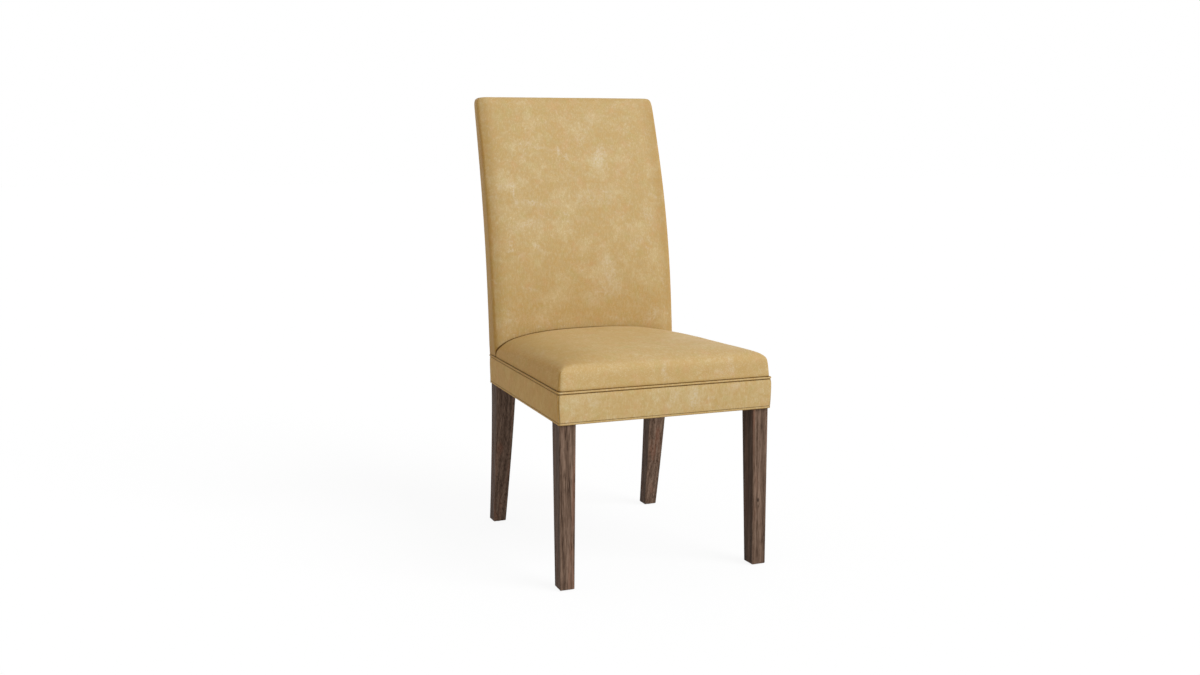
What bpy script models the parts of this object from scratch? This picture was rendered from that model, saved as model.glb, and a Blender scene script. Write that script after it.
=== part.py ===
# Upholstered dining chair: a hardwood frame with swept rear posts, woven seat webbing,
# foam, and leather covers with a welt between the seat cushion and the border band.
# Sizes are in metres. X runs across the chair, Y to the back and Z up; the origin lies
# on the floor under the middle of the chair.

import math

import bmesh
import bpy
from mathutils import Matrix, Vector

# Overall form
overall_height = 1.030
overall_depth = 0.644
seat_depth = 0.521
seat_front_width = 0.4914
seat_rear_width = 0.4558
back_side_draw = 0.0008
back_taper = 0.0058
back_thickness_low = 0.0634
back_thickness_top = 0.0524
back_crown = 0.004
back_corner_reach = 0.034
back_corner_draw = 0.004
back_edge_reach = 0.010
back_side_roll = 0.008
back_side_roll_share = 0.44
back_top_roll = 0.003
frame_bottom = 0.3515
border_height = 0.067
lean_shares = (0.22, 0.61, 0.17)

# Fits between pieces
fit_gap = 0.0003
soft_gap = 0.0008
cut_overrun = 0.004

# Leather, cloth and piping
leather_thickness = 0.0014
cloth_thickness = 0.0008
liner_thickness = 0.001
welt_diameter = 0.0048
welt_proud = 0.0008
border_corner_radius = 0.006
border_bulge = 0.0014
border_top_draw = 0.0005
border_draw_share = 0.45
border_full_share = 0.78
hem_height = 0.005

# Seat frame
rail_thickness = 0.022
rail_top_drop = 0.0045
rail_bottom_gap = 0.002
tenon_shoulder = 0.0055
tenon_length = 0.015
side_wadding_thickness = 0.0012
front_wadding_thickness = 0.003
eased_edge = 0.0012

# Front legs
front_foot_width = 0.032
front_foot_depth = 0.0355
front_leg_width = 0.036
front_leg_depth = 0.048

# Rear posts
post_foot_draw = 0.0067
post_side_inset = 0.0037
post_foot_width = 0.031
post_frame_width = 0.049
post_low_width = 0.032
post_top_width = 0.028
post_foot_depth = 0.033
post_frame_depth = 0.0395
post_low_depth = 0.030
post_top_depth = 0.024
post_kick = 0.050
post_kick_power = 1.35
post_taper_run = 0.066
post_top_drop = 0.018
post_station_count = 14
post_leg_station_count = 11

# Back rails
lower_rail_rise = 0.044
lower_rail_height = 0.045
top_rail_height = 0.052
back_rail_thickness = 0.020
back_tenon_shoulder = 0.005
back_tenon_length = 0.012

# Corner blocks and their screws
block_thickness = 0.020
block_leg_gap = 0.002
block_end_inset = 0.006
screw_head_radius = 0.004
screw_head_height = 0.0026
screw_radius = 0.002
screw_tip_length = 0.005
screw_seat_depth = 0.0065
screw_bite = 0.016

# Webbing
seat_strap_width = 0.050
back_strap_width = 0.050
strap_thickness = 0.0012
strap_weave_play = 0.0002
strap_end_inset = 0.009
seat_strap_count = 3
back_strap_count = 3
strap_column_share = 0.85
strap_first_share = 0.24
strap_last_share = 0.76
back_strap_first_share = 0.14
back_strap_last_share = 0.78

# Seat cushion: inset from the outline and height above the rim of each cage ring, at
# the front and, where its section is lower and rounder, at the back
cushion_rim_inset = 0.0015
cushion_wall_inset = 0.0042
cushion_wall_rise = 0.0195
cushion_edge_inset = 0.0080
cushion_edge_rise = 0.0445
cushion_shoulder_inset = 0.027
cushion_shoulder_rise = 0.0545
cushion_crown_inset = 0.105
cushion_crown_rise = 0.0655
cushion_middle_rise = 0.0700
cushion_rear_wall_inset = 0.0015
cushion_rear_wall_rise = 0.0110
cushion_rear_edge_inset = 0.0070
cushion_rear_edge_rise = 0.0285
cushion_rear_shoulder_inset = 0.030
cushion_rear_shoulder_rise = 0.0452
cushion_rear_crown_rise = 0.0600
cushion_rear_middle_rise = 0.0643
cushion_row_shares = (0.0, 0.0, 0.1, 0.3, 0.6, 0.95, 1.0)
cushion_rear_row = 0.040
cushion_middle_row = 0.110
cushion_corner_wrap = 0.005
foam_foot_inset = 0.0068

# Back cushion
back_middle_share = 0.5
back_row_count = 10
back_foam_ease = 0.0036
back_foam_ease_share = 0.01
liner_side_gap = 0.002
top_strip_play = 0.0038
top_strip_inset = 0.021

# Glides
glide_radius = 0.010
glide_height = 0.002
glide_chamfer = 0.0008
glide_nail_radius = 0.0012
glide_nail_length = 0.012

# Dust cover
dust_cover_gap = 0.0006

# Working values
front_y = (welt_proud - overall_depth) / 2
seat_rear_y = front_y + seat_depth
lean_depth = overall_depth - seat_depth
back_low_width = seat_rear_width - back_side_draw
back_top_width = back_low_width - back_taper
welt_height = frame_bottom + border_height
band_top = welt_height - welt_diameter / 2 - fit_gap
cushion_rim = welt_height + welt_diameter / 2 + fit_gap
border_wall = border_bulge + leather_thickness
leg_inset = border_wall + side_wadding_thickness + 2 * fit_gap
leg_setback = border_wall + front_wadding_thickness + 2 * fit_gap
rail_top = welt_height - rail_top_drop
rail_bottom = frame_bottom + rail_bottom_gap
leg_bottom = glide_height + fit_gap
post_frame_outer = seat_rear_width / 2 - border_wall - fit_gap
post_foot_outer = post_frame_outer - post_foot_draw
post_taper_height = rail_top + post_taper_run
post_top = overall_height - post_top_drop
lower_rail_bottom = rail_top + lower_rail_rise
top_strip_height = post_top_drop - leather_thickness - fit_gap - top_strip_play
strap_level = rail_top + fit_gap + strap_thickness / 2
strap_wave = (strap_thickness + fit_gap) / 2 + strap_weave_play
base_cloth_bottom = strap_level + strap_wave + strap_thickness / 2 + fit_gap
seat_foam_bottom = base_cloth_bottom + cloth_thickness + fit_gap
post_rear_inset = leather_thickness + liner_thickness + 2 * fit_gap
cover_step = leather_thickness + soft_gap

unit = 1.0
sharp_angle = math.radians(40)


def blend(low, high, share):
    return low + (high - low) * share


def spread(low, high, count):
    return [blend(low, high, step / (count - 1)) for step in range(count)]


back_stations = [rail_top] + spread(post_taper_height, post_top, post_station_count)


# Outlines that several pieces share

def seat_half(y):
    return blend(seat_front_width, seat_rear_width, (y - front_y) / seat_depth) / 2


def back_share(z):
    return min(1.0, max(0.0, (z - welt_height) / (overall_height - welt_height)))


def back_half(z):
    return blend(back_low_width, back_top_width, back_share(z)) / 2


def rear_y(z):
    share = back_share(z)
    lean = sum(part * share ** (order + 1) for order, part in enumerate(lean_shares))
    return seat_rear_y + lean_depth * lean


def back_front_y(x, z):
    share = back_share(z)
    thickness = blend(back_thickness_low, back_thickness_top, share)
    crown = back_crown * (1 - (x / back_half(z)) ** 2) * math.sin(math.pi * share)
    return rear_y(z) - thickness - crown


def border_path(front_inset, side_inset, radius, end_y, side_steps=4, arc_steps=4):
    corner_y = front_y + front_inset + radius
    side = [(seat_half(y) - side_inset, y) for y in spread(corner_y, end_y, side_steps + 1)[1:]]
    corner_x = seat_half(front_y) - side_inset - radius
    turns = spread(0.0, -math.pi / 2, arc_steps + 1)
    arc = [(corner_x + radius * math.cos(turn), corner_y + radius * math.sin(turn)) for turn in turns]
    right = side[::-1] + arc
    left = [(-x, y) for x, y in right]
    return left + right[::-1]


# Legs and posts

def post_rear_y(z):
    if z >= frame_bottom:
        return rear_y(z) - post_rear_inset
    drop_share = 1 - z / frame_bottom
    return seat_rear_y - post_rear_inset + post_kick * drop_share ** post_kick_power


def post_taper(z, foot, frame, low, top):
    if z <= frame_bottom:
        return blend(foot, frame, z / frame_bottom)
    if z <= rail_top:
        return frame
    if z <= post_taper_height:
        return blend(frame, low, (z - rail_top) / (post_taper_height - rail_top))
    return blend(low, top, (z - post_taper_height) / (post_top - post_taper_height))


def post_outer(z):
    if z <= frame_bottom:
        return blend(post_foot_outer, post_frame_outer, z / frame_bottom)
    above_frame = back_half(max(z, rail_top)) - post_side_inset
    return blend(post_frame_outer, above_frame, min(1.0, (z - frame_bottom) / (rail_top - frame_bottom)))


def post_inner(z):
    return post_outer(z) - post_taper(z, post_foot_width, post_frame_width, post_low_width, post_top_width)


def post_front_y(z):
    return post_rear_y(z) - post_taper(z, post_foot_depth, post_frame_depth, post_low_depth, post_top_depth)


def front_leg_inner(y):
    return seat_half(y) - leg_inset - front_leg_width


# Building tools

def make_material(name, colour, roughness, metallic=0.0):
    material = bpy.data.materials.new(name)
    material.use_nodes = True
    shader = material.node_tree.nodes["Principled BSDF"]
    shader.inputs["Base Color"].default_value = (*colour, 1.0)
    shader.inputs["Roughness"].default_value = roughness
    shader.inputs["Metallic"].default_value = metallic
    material.diffuse_color = (*colour, 1.0)
    return material


def add_object(name, data, material, group):
    item = bpy.data.objects.new(name, data)
    if material is not None:
        data.materials.append(material)
    collections[group].objects.link(item)
    if group == "cutters":
        item.hide_render = True
        item.display_type = "WIRE"
    return item


def add_shell(item, thickness, offset):
    shell = item.modifiers.new("shell", "SOLIDIFY")
    shell.thickness = thickness
    shell.offset = offset


def add_smoothing(item, levels=1):
    smooth = item.modifiers.new("smooth", "SUBSURF")
    smooth.levels = levels
    smooth.render_levels = levels


def add_bevel(item, width, segments=1):
    bevel = item.modifiers.new("eased edges", "BEVEL")
    bevel.width = width
    bevel.segments = segments
    bevel.limit_method = "ANGLE"
    bevel.angle_limit = sharp_angle


def add_boolean(item, other, operation):
    cut = item.modifiers.new(other.name, "BOOLEAN")
    cut.object = other
    cut.operation = operation
    cut.solver = "EXACT"


def finish_mesh(mesh, smooth):
    if smooth:
        mesh.shade_smooth()
        mesh.set_sharp_from_angle(angle=sharp_angle)


# A cube primitive cut into segments along each axis, whose points place() then moves
# by their step along each axis; open_ends leaves out whole sides of it.

def shaped_block(name, segments, place, material=None, group="chair", open_ends=(), smooth=False):
    cage = bmesh.new()
    bmesh.ops.create_cube(cage, size=unit)
    for axis, count in enumerate(segments):
        if count > 1:
            along = [edge for edge in cage.edges
                     if abs(edge.verts[0].co[axis] - edge.verts[1].co[axis]) > unit / 2]
            bmesh.ops.subdivide_edges(cage, edges=along, cuts=count - 1, use_grid_fill=True)
    for axis, end in open_ends:
        side = [face for face in cage.faces
                if all(round(vert.co[axis] * 2 / unit, 3) == end for vert in face.verts)]
        bmesh.ops.delete(cage, geom=side, context="FACES")
    for vert in cage.verts:
        steps = [round((vert.co[axis] / unit + 0.5) * segments[axis]) for axis in range(3)]
        vert.co = place(*steps)
    if not open_ends:
        cage.normal_update()
        bmesh.ops.recalc_face_normals(cage, faces=cage.faces)
    mesh = bpy.data.meshes.new(name)
    cage.to_mesh(mesh)
    cage.free()
    finish_mesh(mesh, smooth)
    return add_object(name, mesh, material, group)


# A grid primitive whose points place() moves by their step along and across

def shaped_sheet(name, segments, place, material, sharp_corners=(), smooth=True):
    sheet = bmesh.new()
    bmesh.ops.create_grid(sheet, x_segments=segments[0], y_segments=segments[1], size=unit / 2)
    crease = sheet.verts.layers.float.new("crease_vert")
    for vert in sheet.verts:
        steps = [round((vert.co[axis] / unit + 0.5) * segments[axis]) for axis in range(2)]
        vert.co = place(*steps)
        if tuple(steps) in sharp_corners:
            vert[crease] = 1.0
    mesh = bpy.data.meshes.new(name)
    sheet.to_mesh(mesh)
    sheet.free()
    finish_mesh(mesh, smooth)
    return add_object(name, mesh, material, "chair")


# A filled flat outline with a thickness, from its lower face up

def flat_outline(name, points, bottom, thickness, material):
    outline = bpy.data.curves.new(name, "CURVE")
    outline.dimensions = "2D"
    outline.fill_mode = "BOTH"
    outline.extrude = thickness / 2
    spline = outline.splines.new("POLY")
    spline.points.add(len(points) - 1)
    for point, (x, y) in zip(spline.points, points):
        point.co = (x, y, 0, 1)
    spline.use_cyclic_u = True
    item = add_object(name, outline, material, "chair")
    item.location.z = bottom + thickness / 2
    return item


# A turned piece: its profile runs down the outer side from top to bottom

def turned_piece(name, profile, material=None, group="chair", steps=12):
    mesh = bpy.data.meshes.new(name)
    edges = [(step, step + 1) for step in range(len(profile) - 1)]
    mesh.from_pydata([(radius, 0, height) for radius, height in profile], edges, [])
    item = add_object(name, mesh, material, group)
    screw = item.modifiers.new("turn", "SCREW")
    screw.steps = steps
    screw.render_steps = steps
    screw.use_merge_vertices = True
    screw.merge_threshold = 0.00001
    screw.use_smooth_shade = True
    return item


# Wooden frame

def build_front_leg(side, name):
    heights = (leg_bottom, frame_bottom, rail_top)

    def place(i, j, k):
        share = min(1.0, heights[k] / frame_bottom)
        depth = blend(front_foot_depth, front_leg_depth, share)
        width = blend(front_foot_width, front_leg_width, share)
        y = front_y + leg_setback + j * depth
        return Vector((side * (seat_half(y) - leg_inset - (1 - i) * width), y, heights[k]))

    leg = shaped_block(name, (1, 1, len(heights) - 1), place, stained_wood)
    add_bevel(leg, eased_edge)
    return leg


def build_rear_post(side, name):
    heights = spread(leg_bottom, frame_bottom, post_leg_station_count) + back_stations

    def place(i, j, k):
        z = heights[k]
        x = post_outer(z) if i else post_inner(z)
        y = post_rear_y(z) if j else post_front_y(z)
        return Vector((side * x, y, z))

    post = shaped_block(name, (1, 1, len(heights) - 1), place, stained_wood, smooth=True)
    add_bevel(post, eased_edge)
    return post


# Every rail place below gives a bar shrunk by shoulder all round and lengthened by reach
# at each end, so the same rule makes the rail, its tenons and the mortises.

def front_rail_place(shoulder, reach):
    def place(i, j, k):
        y = front_y + leg_setback + (rail_thickness - shoulder if j else shoulder)
        x = front_leg_inner(y) - fit_gap + reach
        return Vector((x if i else -x, y, rail_top - shoulder if k else rail_bottom + shoulder))
    return place


def rear_rail_place(shoulder, reach):
    def place(i, j, k):
        y = seat_rear_y - post_rear_inset - (shoulder if j else rail_thickness - shoulder)
        z = rail_top - shoulder if k else rail_bottom + shoulder
        x = post_inner(z) - fit_gap + reach
        return Vector((x if i else -x, y, z))
    return place


def side_rail_place(side):
    def rule(shoulder, reach):
        start = front_y + leg_setback + front_leg_depth + fit_gap - reach
        end = post_front_y(rail_top) - fit_gap + reach

        def place(i, j, k):
            y = end if j else start
            x = seat_half(y) - leg_inset - (shoulder if i else rail_thickness - shoulder)
            return Vector((side * x, y, rail_top - shoulder if k else rail_bottom + shoulder))
        return place
    return rule


def back_rail_place(bottom, top):
    def rule(shoulder, reach):
        def place(i, j, k):
            z = top - shoulder if k else bottom + shoulder
            x = post_inner(z) - fit_gap + reach
            y = post_rear_y(z) - (shoulder if j else back_rail_thickness - shoulder)
            return Vector((x if i else -x, y, z))
        return place
    return rule


def build_rail(name, rule, shoulder, length, joined):
    rail = shaped_block(name, (1, 1, 1), rule(0, 0), plain_wood)
    tenons = shaped_block(name + "_tenons", (1, 1, 1), rule(shoulder, length), group="cutters")
    add_boolean(rail, tenons, "UNION")
    mortises = shaped_block(name + "_mortises", (1, 1, 1), rule(shoulder - fit_gap, length + fit_gap),
                            group="cutters")
    for piece in joined:
        add_boolean(piece, mortises, "DIFFERENCE")
    return rail


# A corner block lies across a corner of the seat frame: step i picks its end, on the
# cross rail or on the side rail, and step j its face, towards the leg or the seat.

def block_corner(rear):
    if rear:
        base_y = seat_rear_y - post_rear_inset - rail_thickness - fit_gap
        overhang = seat_half(base_y) - leg_inset - post_inner(rail_top) + post_frame_depth
        return base_y, -1, overhang - 2 * rail_thickness + block_leg_gap
    overhang = front_leg_width + front_leg_depth
    base_y = front_y + leg_setback + rail_thickness + fit_gap
    return base_y, 1, overhang - 2 * rail_thickness + block_leg_gap


def side_rail_inner(y):
    return seat_half(y) - leg_inset - rail_thickness - fit_gap


def build_corner_block(side, rear, name, side_rail, cross_rail):
    base_y, turn, near = block_corner(rear)
    far = near + block_thickness * math.sqrt(2)

    def place(i, j, k):
        reach = far if j else near
        z = rail_top - block_end_inset if k else rail_bottom + block_end_inset
        if i:
            y = base_y + turn * reach
            return Vector((side * side_rail_inner(y), y, z))
        return Vector((side * (side_rail_inner(base_y) - reach), base_y, z))

    block = shaped_block(name, (1, 1, 1), place, plain_wood)
    middle_z = (rail_top + rail_bottom) / 2
    hole_reach = (near + far) / 2
    side_y = base_y + turn * hole_reach
    side_seat = Vector((side * (side_rail_inner(side_y) - screw_seat_depth), side_y, middle_z))
    cross_seat = Vector((side * (side_rail_inner(base_y) - hole_reach), base_y + turn * screw_seat_depth, middle_z))
    places = (
        ("side", side_seat, Vector((side, 0, 0)), side_rail),
        ("cross", cross_seat, Vector((0, -turn, 0)), cross_rail),
    )
    for end, seat, heading, rail in places:
        turned = Matrix.Translation(seat) @ heading.to_track_quat("-Z", "Y").to_matrix().to_4x4()
        screw = turned_piece(name + "_screw_" + end, screw_profile(0, 0), screw_steel)
        screw.matrix_world = turned
        hole = turned_piece(name + "_hole_" + end, screw_profile(fit_gap, cut_overrun), group="cutters")
        hole.matrix_world = turned
        add_boolean(block, hole, "DIFFERENCE")
        add_boolean(rail, hole, "DIFFERENCE")
    return block


def screw_profile(gap, overrun):
    length = screw_seat_depth + fit_gap + screw_bite
    return (
        (0, screw_head_height + overrun + gap),
        (screw_head_radius + gap, screw_head_height + overrun + gap),
        (screw_head_radius + gap, -gap),
        (screw_radius + gap, -gap),
        (screw_radius + gap, -length + screw_tip_length),
        (0, -length - gap),
    )


def glide_profile(gap):
    return (
        (0, glide_height + glide_nail_length + gap),
        (glide_nail_radius + gap, glide_height + glide_nail_length + gap),
        (glide_nail_radius + gap, glide_height),
        (glide_radius, glide_height),
        (glide_radius, glide_chamfer),
        (glide_radius - glide_chamfer, 0),
        (0, 0),
    )


def build_glide(name, x, y, leg):
    glide = turned_piece(name, glide_profile(0), glide_plastic, steps=16)
    glide.location = (x, y, 0)
    hole = turned_piece(name + "_hole", glide_profile(fit_gap), group="cutters", steps=16)
    hole.location = (x, y, 0)
    add_boolean(leg, hole, "DIFFERENCE")


# Woven webbing

def weave_rise(position, crossings, first_up):
    turns = [crossings[0] - (crossings[1] - crossings[0]) / 2]
    turns += [(low + high) / 2 for low, high in zip(crossings, crossings[1:])]
    turns += [crossings[-1] + (crossings[1] - crossings[0]) / 2]
    for step, centre in enumerate(crossings):
        if turns[step] <= position <= turns[step + 1]:
            up = first_up if step % 2 == 0 else -first_up
            slack = (turns[step + 1] - turns[step] - seat_strap_width) / 2
            out = max(0.0, abs(position - centre) - seat_strap_width / 2)
            return up * strap_wave * math.cos(math.pi / 2 * min(1.0, out / slack))
    return 0.0


def weave_stations(start, end, crossings):
    stations = {start, end}
    half = seat_strap_width / 2
    pitch = crossings[1] - crossings[0]
    for centre in crossings:
        stations |= {centre - half, centre, centre + half, centre - pitch / 2, centre + pitch / 2}
    return sorted(value for value in stations if start <= value <= end)


def build_seat_webbing():
    inside_low = front_y + leg_setback + rail_thickness
    inside_high = seat_rear_y - post_rear_inset - rail_thickness
    rows = [blend(inside_low, inside_high, share)
            for share in spread(strap_first_share, strap_last_share, seat_strap_count)]
    reach = post_inner(rail_top) - seat_strap_width / 2 - strap_end_inset
    columns = spread(-reach * strap_column_share, reach * strap_column_share, seat_strap_count)
    half = seat_strap_width / 2
    for number, row in enumerate(rows):
        limit = seat_half(row + half) - leg_inset - strap_end_inset
        stations = weave_stations(-limit, limit, columns)
        up = 1 if number % 2 == 0 else -1

        def place(i, j, row=row, stations=stations, up=up):
            rise = weave_rise(stations[i], columns, up)
            return Vector((stations[i], row + (half if j else -half), strap_level + rise))

        strap = shaped_sheet(f"seat_web_cross_{number + 1}", (len(stations) - 1, 1), place, webbing)
        add_shell(strap, strap_thickness, 0)
    start = front_y + leg_setback + strap_end_inset
    end = seat_rear_y - post_rear_inset - strap_end_inset
    stations = weave_stations(start, end, rows)
    for number, column in enumerate(columns):
        up = -1 if number % 2 == 0 else 1

        def place(i, j, column=column, up=up):
            rise = weave_rise(stations[i], rows, up)
            return Vector((column + (-half if j else half), stations[i], strap_level + rise))

        strap = shaped_sheet(f"seat_web_long_{number + 1}", (len(stations) - 1, 1), place, webbing)
        add_shell(strap, strap_thickness, 0)


def build_back_webbing():
    low = lower_rail_bottom + lower_rail_height
    high = post_top - top_rail_height
    shares = spread(back_strap_first_share, back_strap_last_share, back_strap_count)
    for number, share in enumerate(shares):
        centre = blend(low, high, share)
        rises = spread(centre - back_strap_width / 2, centre + back_strap_width / 2, 3)

        def place(i, j, rises=rises):
            z = rises[j]
            x = post_outer(z) - strap_end_inset / 2
            y = post_front_y(z) - fit_gap - strap_thickness / 2
            return Vector((x if i else -x, y, z))

        strap = shaped_sheet(f"back_web_{number + 1}", (1, 2), place, webbing)
        add_shell(strap, strap_thickness, 0)


# Seat cushion: a cage of rings, the wall rows and then the rings of the crowned top.
# One rule places the leather cap and, drawn in by step, the foam under it. The section
# goes from the front one to the rear one by the share of each row.

def cushion_place(step, rim_height, rim_inset):
    front_insets = (cushion_edge_inset, cushion_shoulder_inset, cushion_crown_inset, 0)
    rear_insets = (cushion_rear_edge_inset, cushion_rear_shoulder_inset, cushion_crown_inset, 0)
    front_rises = (cushion_edge_rise, cushion_shoulder_rise, cushion_crown_rise, cushion_middle_rise)
    rear_rises = (cushion_rear_edge_rise, cushion_rear_shoulder_rise, cushion_rear_crown_rise,
                  cushion_rear_middle_rise)

    def place(i, j, k):
        across = min(i, 6 - i)
        share = cushion_row_shares[j]
        if k == 0:
            z = rim_height
            wall_inset = front_inset = rim_inset
        elif k == 1:
            z = cushion_rim + blend(cushion_wall_rise, cushion_rear_wall_rise, share)
            wall_inset = blend(cushion_wall_inset, cushion_rear_wall_inset, share)
            front_inset = cushion_wall_inset
        else:
            ring = min(across, j)
            z = cushion_rim + blend(front_rises[ring], rear_rises[ring], share) - step
            wall_inset = blend(front_insets[0], rear_insets[0], share)
            front_inset = front_insets[0]
        rear_wall = back_front_y(0, z) - soft_gap - step
        wrap = 0 if across else cushion_corner_wrap
        front_edge = front_y + step
        y = (
            front_edge + front_inset,
            front_edge + front_insets[1],
            front_edge + front_insets[2],
            (front_y + rear_wall) / 2,
            rear_wall - cushion_middle_row,
            rear_wall - cushion_rear_row,
            rear_wall + wrap,
        )[j]
        half = seat_half(y) - step
        inset = blend(front_insets[across], rear_insets[across], share) if across else wall_inset
        x = 0 if across == 3 else half - inset
        return Vector((-x if i < 3 else x, y, z))
    return place


def build_seat_cushion():
    segments = (6, 6, 2)
    cover_rule = cushion_place(0, cushion_rim, cushion_rim_inset)
    cover = shaped_block("seat_cover", segments, cover_rule, leather, open_ends=((2, -1),), smooth=True)
    add_smoothing(cover)
    add_shell(cover, leather_thickness, -1)
    foam_rule = cushion_place(cover_step, seat_foam_bottom, foam_foot_inset - cover_step)
    seat_foam = shaped_block("seat_foam", segments, foam_rule, foam, smooth=True)
    add_smoothing(seat_foam)


# Back cushion: columns and rows of one cage, close together at the rounded edges. Its
# two top corners are drawn in, and its front rolls back towards its sides and top.

def back_rows(low, high):
    return spread(low, high - back_corner_reach, back_row_count) + [high - back_edge_reach, high]


def back_place(i, z, top, step):
    half = back_half(z) - step
    column = min(i, 8 - i)
    x = (half, half - back_edge_reach, half - back_corner_reach, half * back_middle_share, 0)[column]
    if top and column == 0:
        x -= back_corner_draw
        z -= back_corner_draw
    roll = (back_side_roll, back_side_roll * back_side_roll_share, 0, 0, 0)[column]
    if top:
        roll = max(roll, back_top_roll)
    return (-x if i < 4 else x), z, roll


def build_back_cushion():
    cover_low = cushion_rim + fit_gap
    rows = back_rows(cover_low, overall_height)
    last = len(rows) - 1

    def place_cover(i, j, k):
        x, z, roll = back_place(i, rows[k], k == last, 0)
        front = back_front_y(x, z) + roll
        rear = rear_y(z) - leather_thickness - soft_gap
        return Vector((x, (front, front + back_edge_reach, rear)[j], z))

    cover = shaped_block("inside_back_cover", (8, 2, last), place_cover, leather,
                         open_ends=((2, -1), (1, 1)), smooth=True)
    add_smoothing(cover)
    add_shell(cover, leather_thickness, -1)
    foam_rows = back_rows(cover_low + fit_gap, overall_height - cover_step - back_foam_ease)

    def place_foam(i, j, k):
        x, z, roll = back_place(i, foam_rows[k], k == last, cover_step)
        front = back_front_y(x, z) + cover_step + roll
        if i in (0, 8) or k == last:
            front += back_foam_ease
        rear = post_front_y(min(z, post_top)) - strap_thickness - fit_gap - soft_gap
        rear -= back_foam_ease_share * lean_depth
        if z > post_top:
            rear += rear_y(z) - rear_y(post_top)
        return Vector((x, rear if j else front, z))

    back_foam = shaped_block("back_foam", (8, 1, last), place_foam, foam, smooth=True)
    add_smoothing(back_foam)
    panel_rows = [frame_bottom, welt_height] + back_rows(cover_low, overall_height - leather_thickness)[1:]

    def place_panel(i, j):
        x, z, roll = back_place(i, panel_rows[j], j == len(panel_rows) - 1, 0)
        return Vector((-x, rear_y(z), z))

    panel = shaped_sheet("outside_back_panel", (8, len(panel_rows) - 1), place_panel, leather,
                         sharp_corners=((0, 0), (8, 0)))
    add_smoothing(panel)
    add_shell(panel, leather_thickness, -1)
    liner_rows = [rail_bottom] + back_stations

    def place_liner(i, j, k):
        z = liner_rows[k]
        y = rear_y(z) - leather_thickness - fit_gap - (0 if j else liner_thickness)
        x = back_half(z) - post_side_inset - liner_side_gap
        return Vector((x if i else -x, y, z))

    shaped_block("back_liner", (1, 1, len(liner_rows) - 1), place_liner, card, smooth=True)

    def place_strip(i, j, k):
        z = post_top + fit_gap + (top_strip_height if k else 0)
        x = back_half(z) - top_strip_inset
        y = post_rear_y(z) if j else post_front_y(post_top)
        return Vector((x if i else -x, y, z))

    strip = shaped_block("top_foam_strip", (1, 1, 1), place_strip, foam)
    add_bevel(strip, top_strip_height / 3)


# Leather border and the piping above it

def build_border():
    end_y = seat_rear_y - leather_thickness - fit_gap
    levels = (
        (frame_bottom, border_bulge),
        (frame_bottom + hem_height, border_bulge),
        (blend(frame_bottom, band_top, border_draw_share), border_bulge / 3),
        (blend(frame_bottom, band_top, border_full_share), 0),
        (band_top, border_top_draw),
    )

    def ring(inset):
        return border_path(inset, inset, border_corner_radius - inset, end_y)

    def place(i, j):
        height, inset = levels[j]
        x, y = ring(inset)[i]
        return Vector((x, y, height))

    band = shaped_sheet("border_band", (len(ring(0)) - 1, len(levels) - 1), place, leather)
    add_shell(band, leather_thickness, -1)
    welt_inset = welt_diameter / 2 - welt_proud
    run = border_path(welt_inset, welt_inset, border_corner_radius - welt_inset, end_y, arc_steps=6)
    piping = bpy.data.curves.new("seat_welt", "CURVE")
    piping.dimensions = "3D"
    piping.bevel_depth = welt_diameter / 2
    piping.bevel_resolution = 2
    piping.use_fill_caps = True
    spline = piping.splines.new("POLY")
    spline.points.add(len(run) - 1)
    for point, (x, y) in zip(spline.points, run):
        point.co = (x, y, welt_height, 1)
    add_object("seat_welt", piping, leather, "chair")
    outer = border_wall + fit_gap
    wadding_end = post_front_y(rail_top) - fit_gap
    outline = border_path(outer, outer, border_corner_radius - outer, wadding_end)
    inner = border_path(leg_setback - fit_gap, leg_inset - fit_gap, 0, wadding_end)
    flat_outline("border_wadding", outline + inner[::-1], rail_bottom, rail_top - rail_bottom, wadding)


# Cloths on and under the frame

def build_cloths():
    base_inset = foam_foot_inset + fit_gap
    base_front = front_y + base_inset
    base_rear = back_front_y(0, seat_foam_bottom) - soft_gap
    base = [(seat_half(base_front) - base_inset, base_front), (seat_half(base_rear) - base_inset, base_rear)]
    outline = base + [(-x, y) for x, y in base[::-1]]
    flat_outline("base_cloth", outline, base_cloth_bottom, cloth_thickness, webbing)
    leg_rear = front_y + leg_setback + front_leg_depth + dust_cover_gap
    cover_front = front_y + leg_setback
    leg_side = front_leg_inner(cover_front) - dust_cover_gap
    post_front = post_front_y(frame_bottom) - dust_cover_gap
    post_side = post_inner(rail_top) - dust_cover_gap
    half = [
        (leg_side, cover_front),
        (leg_side - (seat_half(cover_front) - seat_half(leg_rear)), leg_rear),
        (seat_half(leg_rear) - border_wall - soft_gap, leg_rear),
        (seat_half(post_front) - border_wall - soft_gap, post_front),
        (post_side, post_front),
        (post_side, seat_rear_y - post_rear_inset),
    ]
    outline = half + [(-x, y) for x, y in half[::-1]]
    bottom = rail_bottom - fit_gap - cloth_thickness
    flat_outline("dust_cover", outline, bottom, cloth_thickness, black_cloth)


for item in list(bpy.data.objects):
    bpy.data.objects.remove(item)

collections = {}
for group, title in (("chair", "upholstered_dining_chair"), ("cutters", "cutters")):
    collections[group] = bpy.data.collections.new(title)
    bpy.context.scene.collection.children.link(collections[group])

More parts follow.
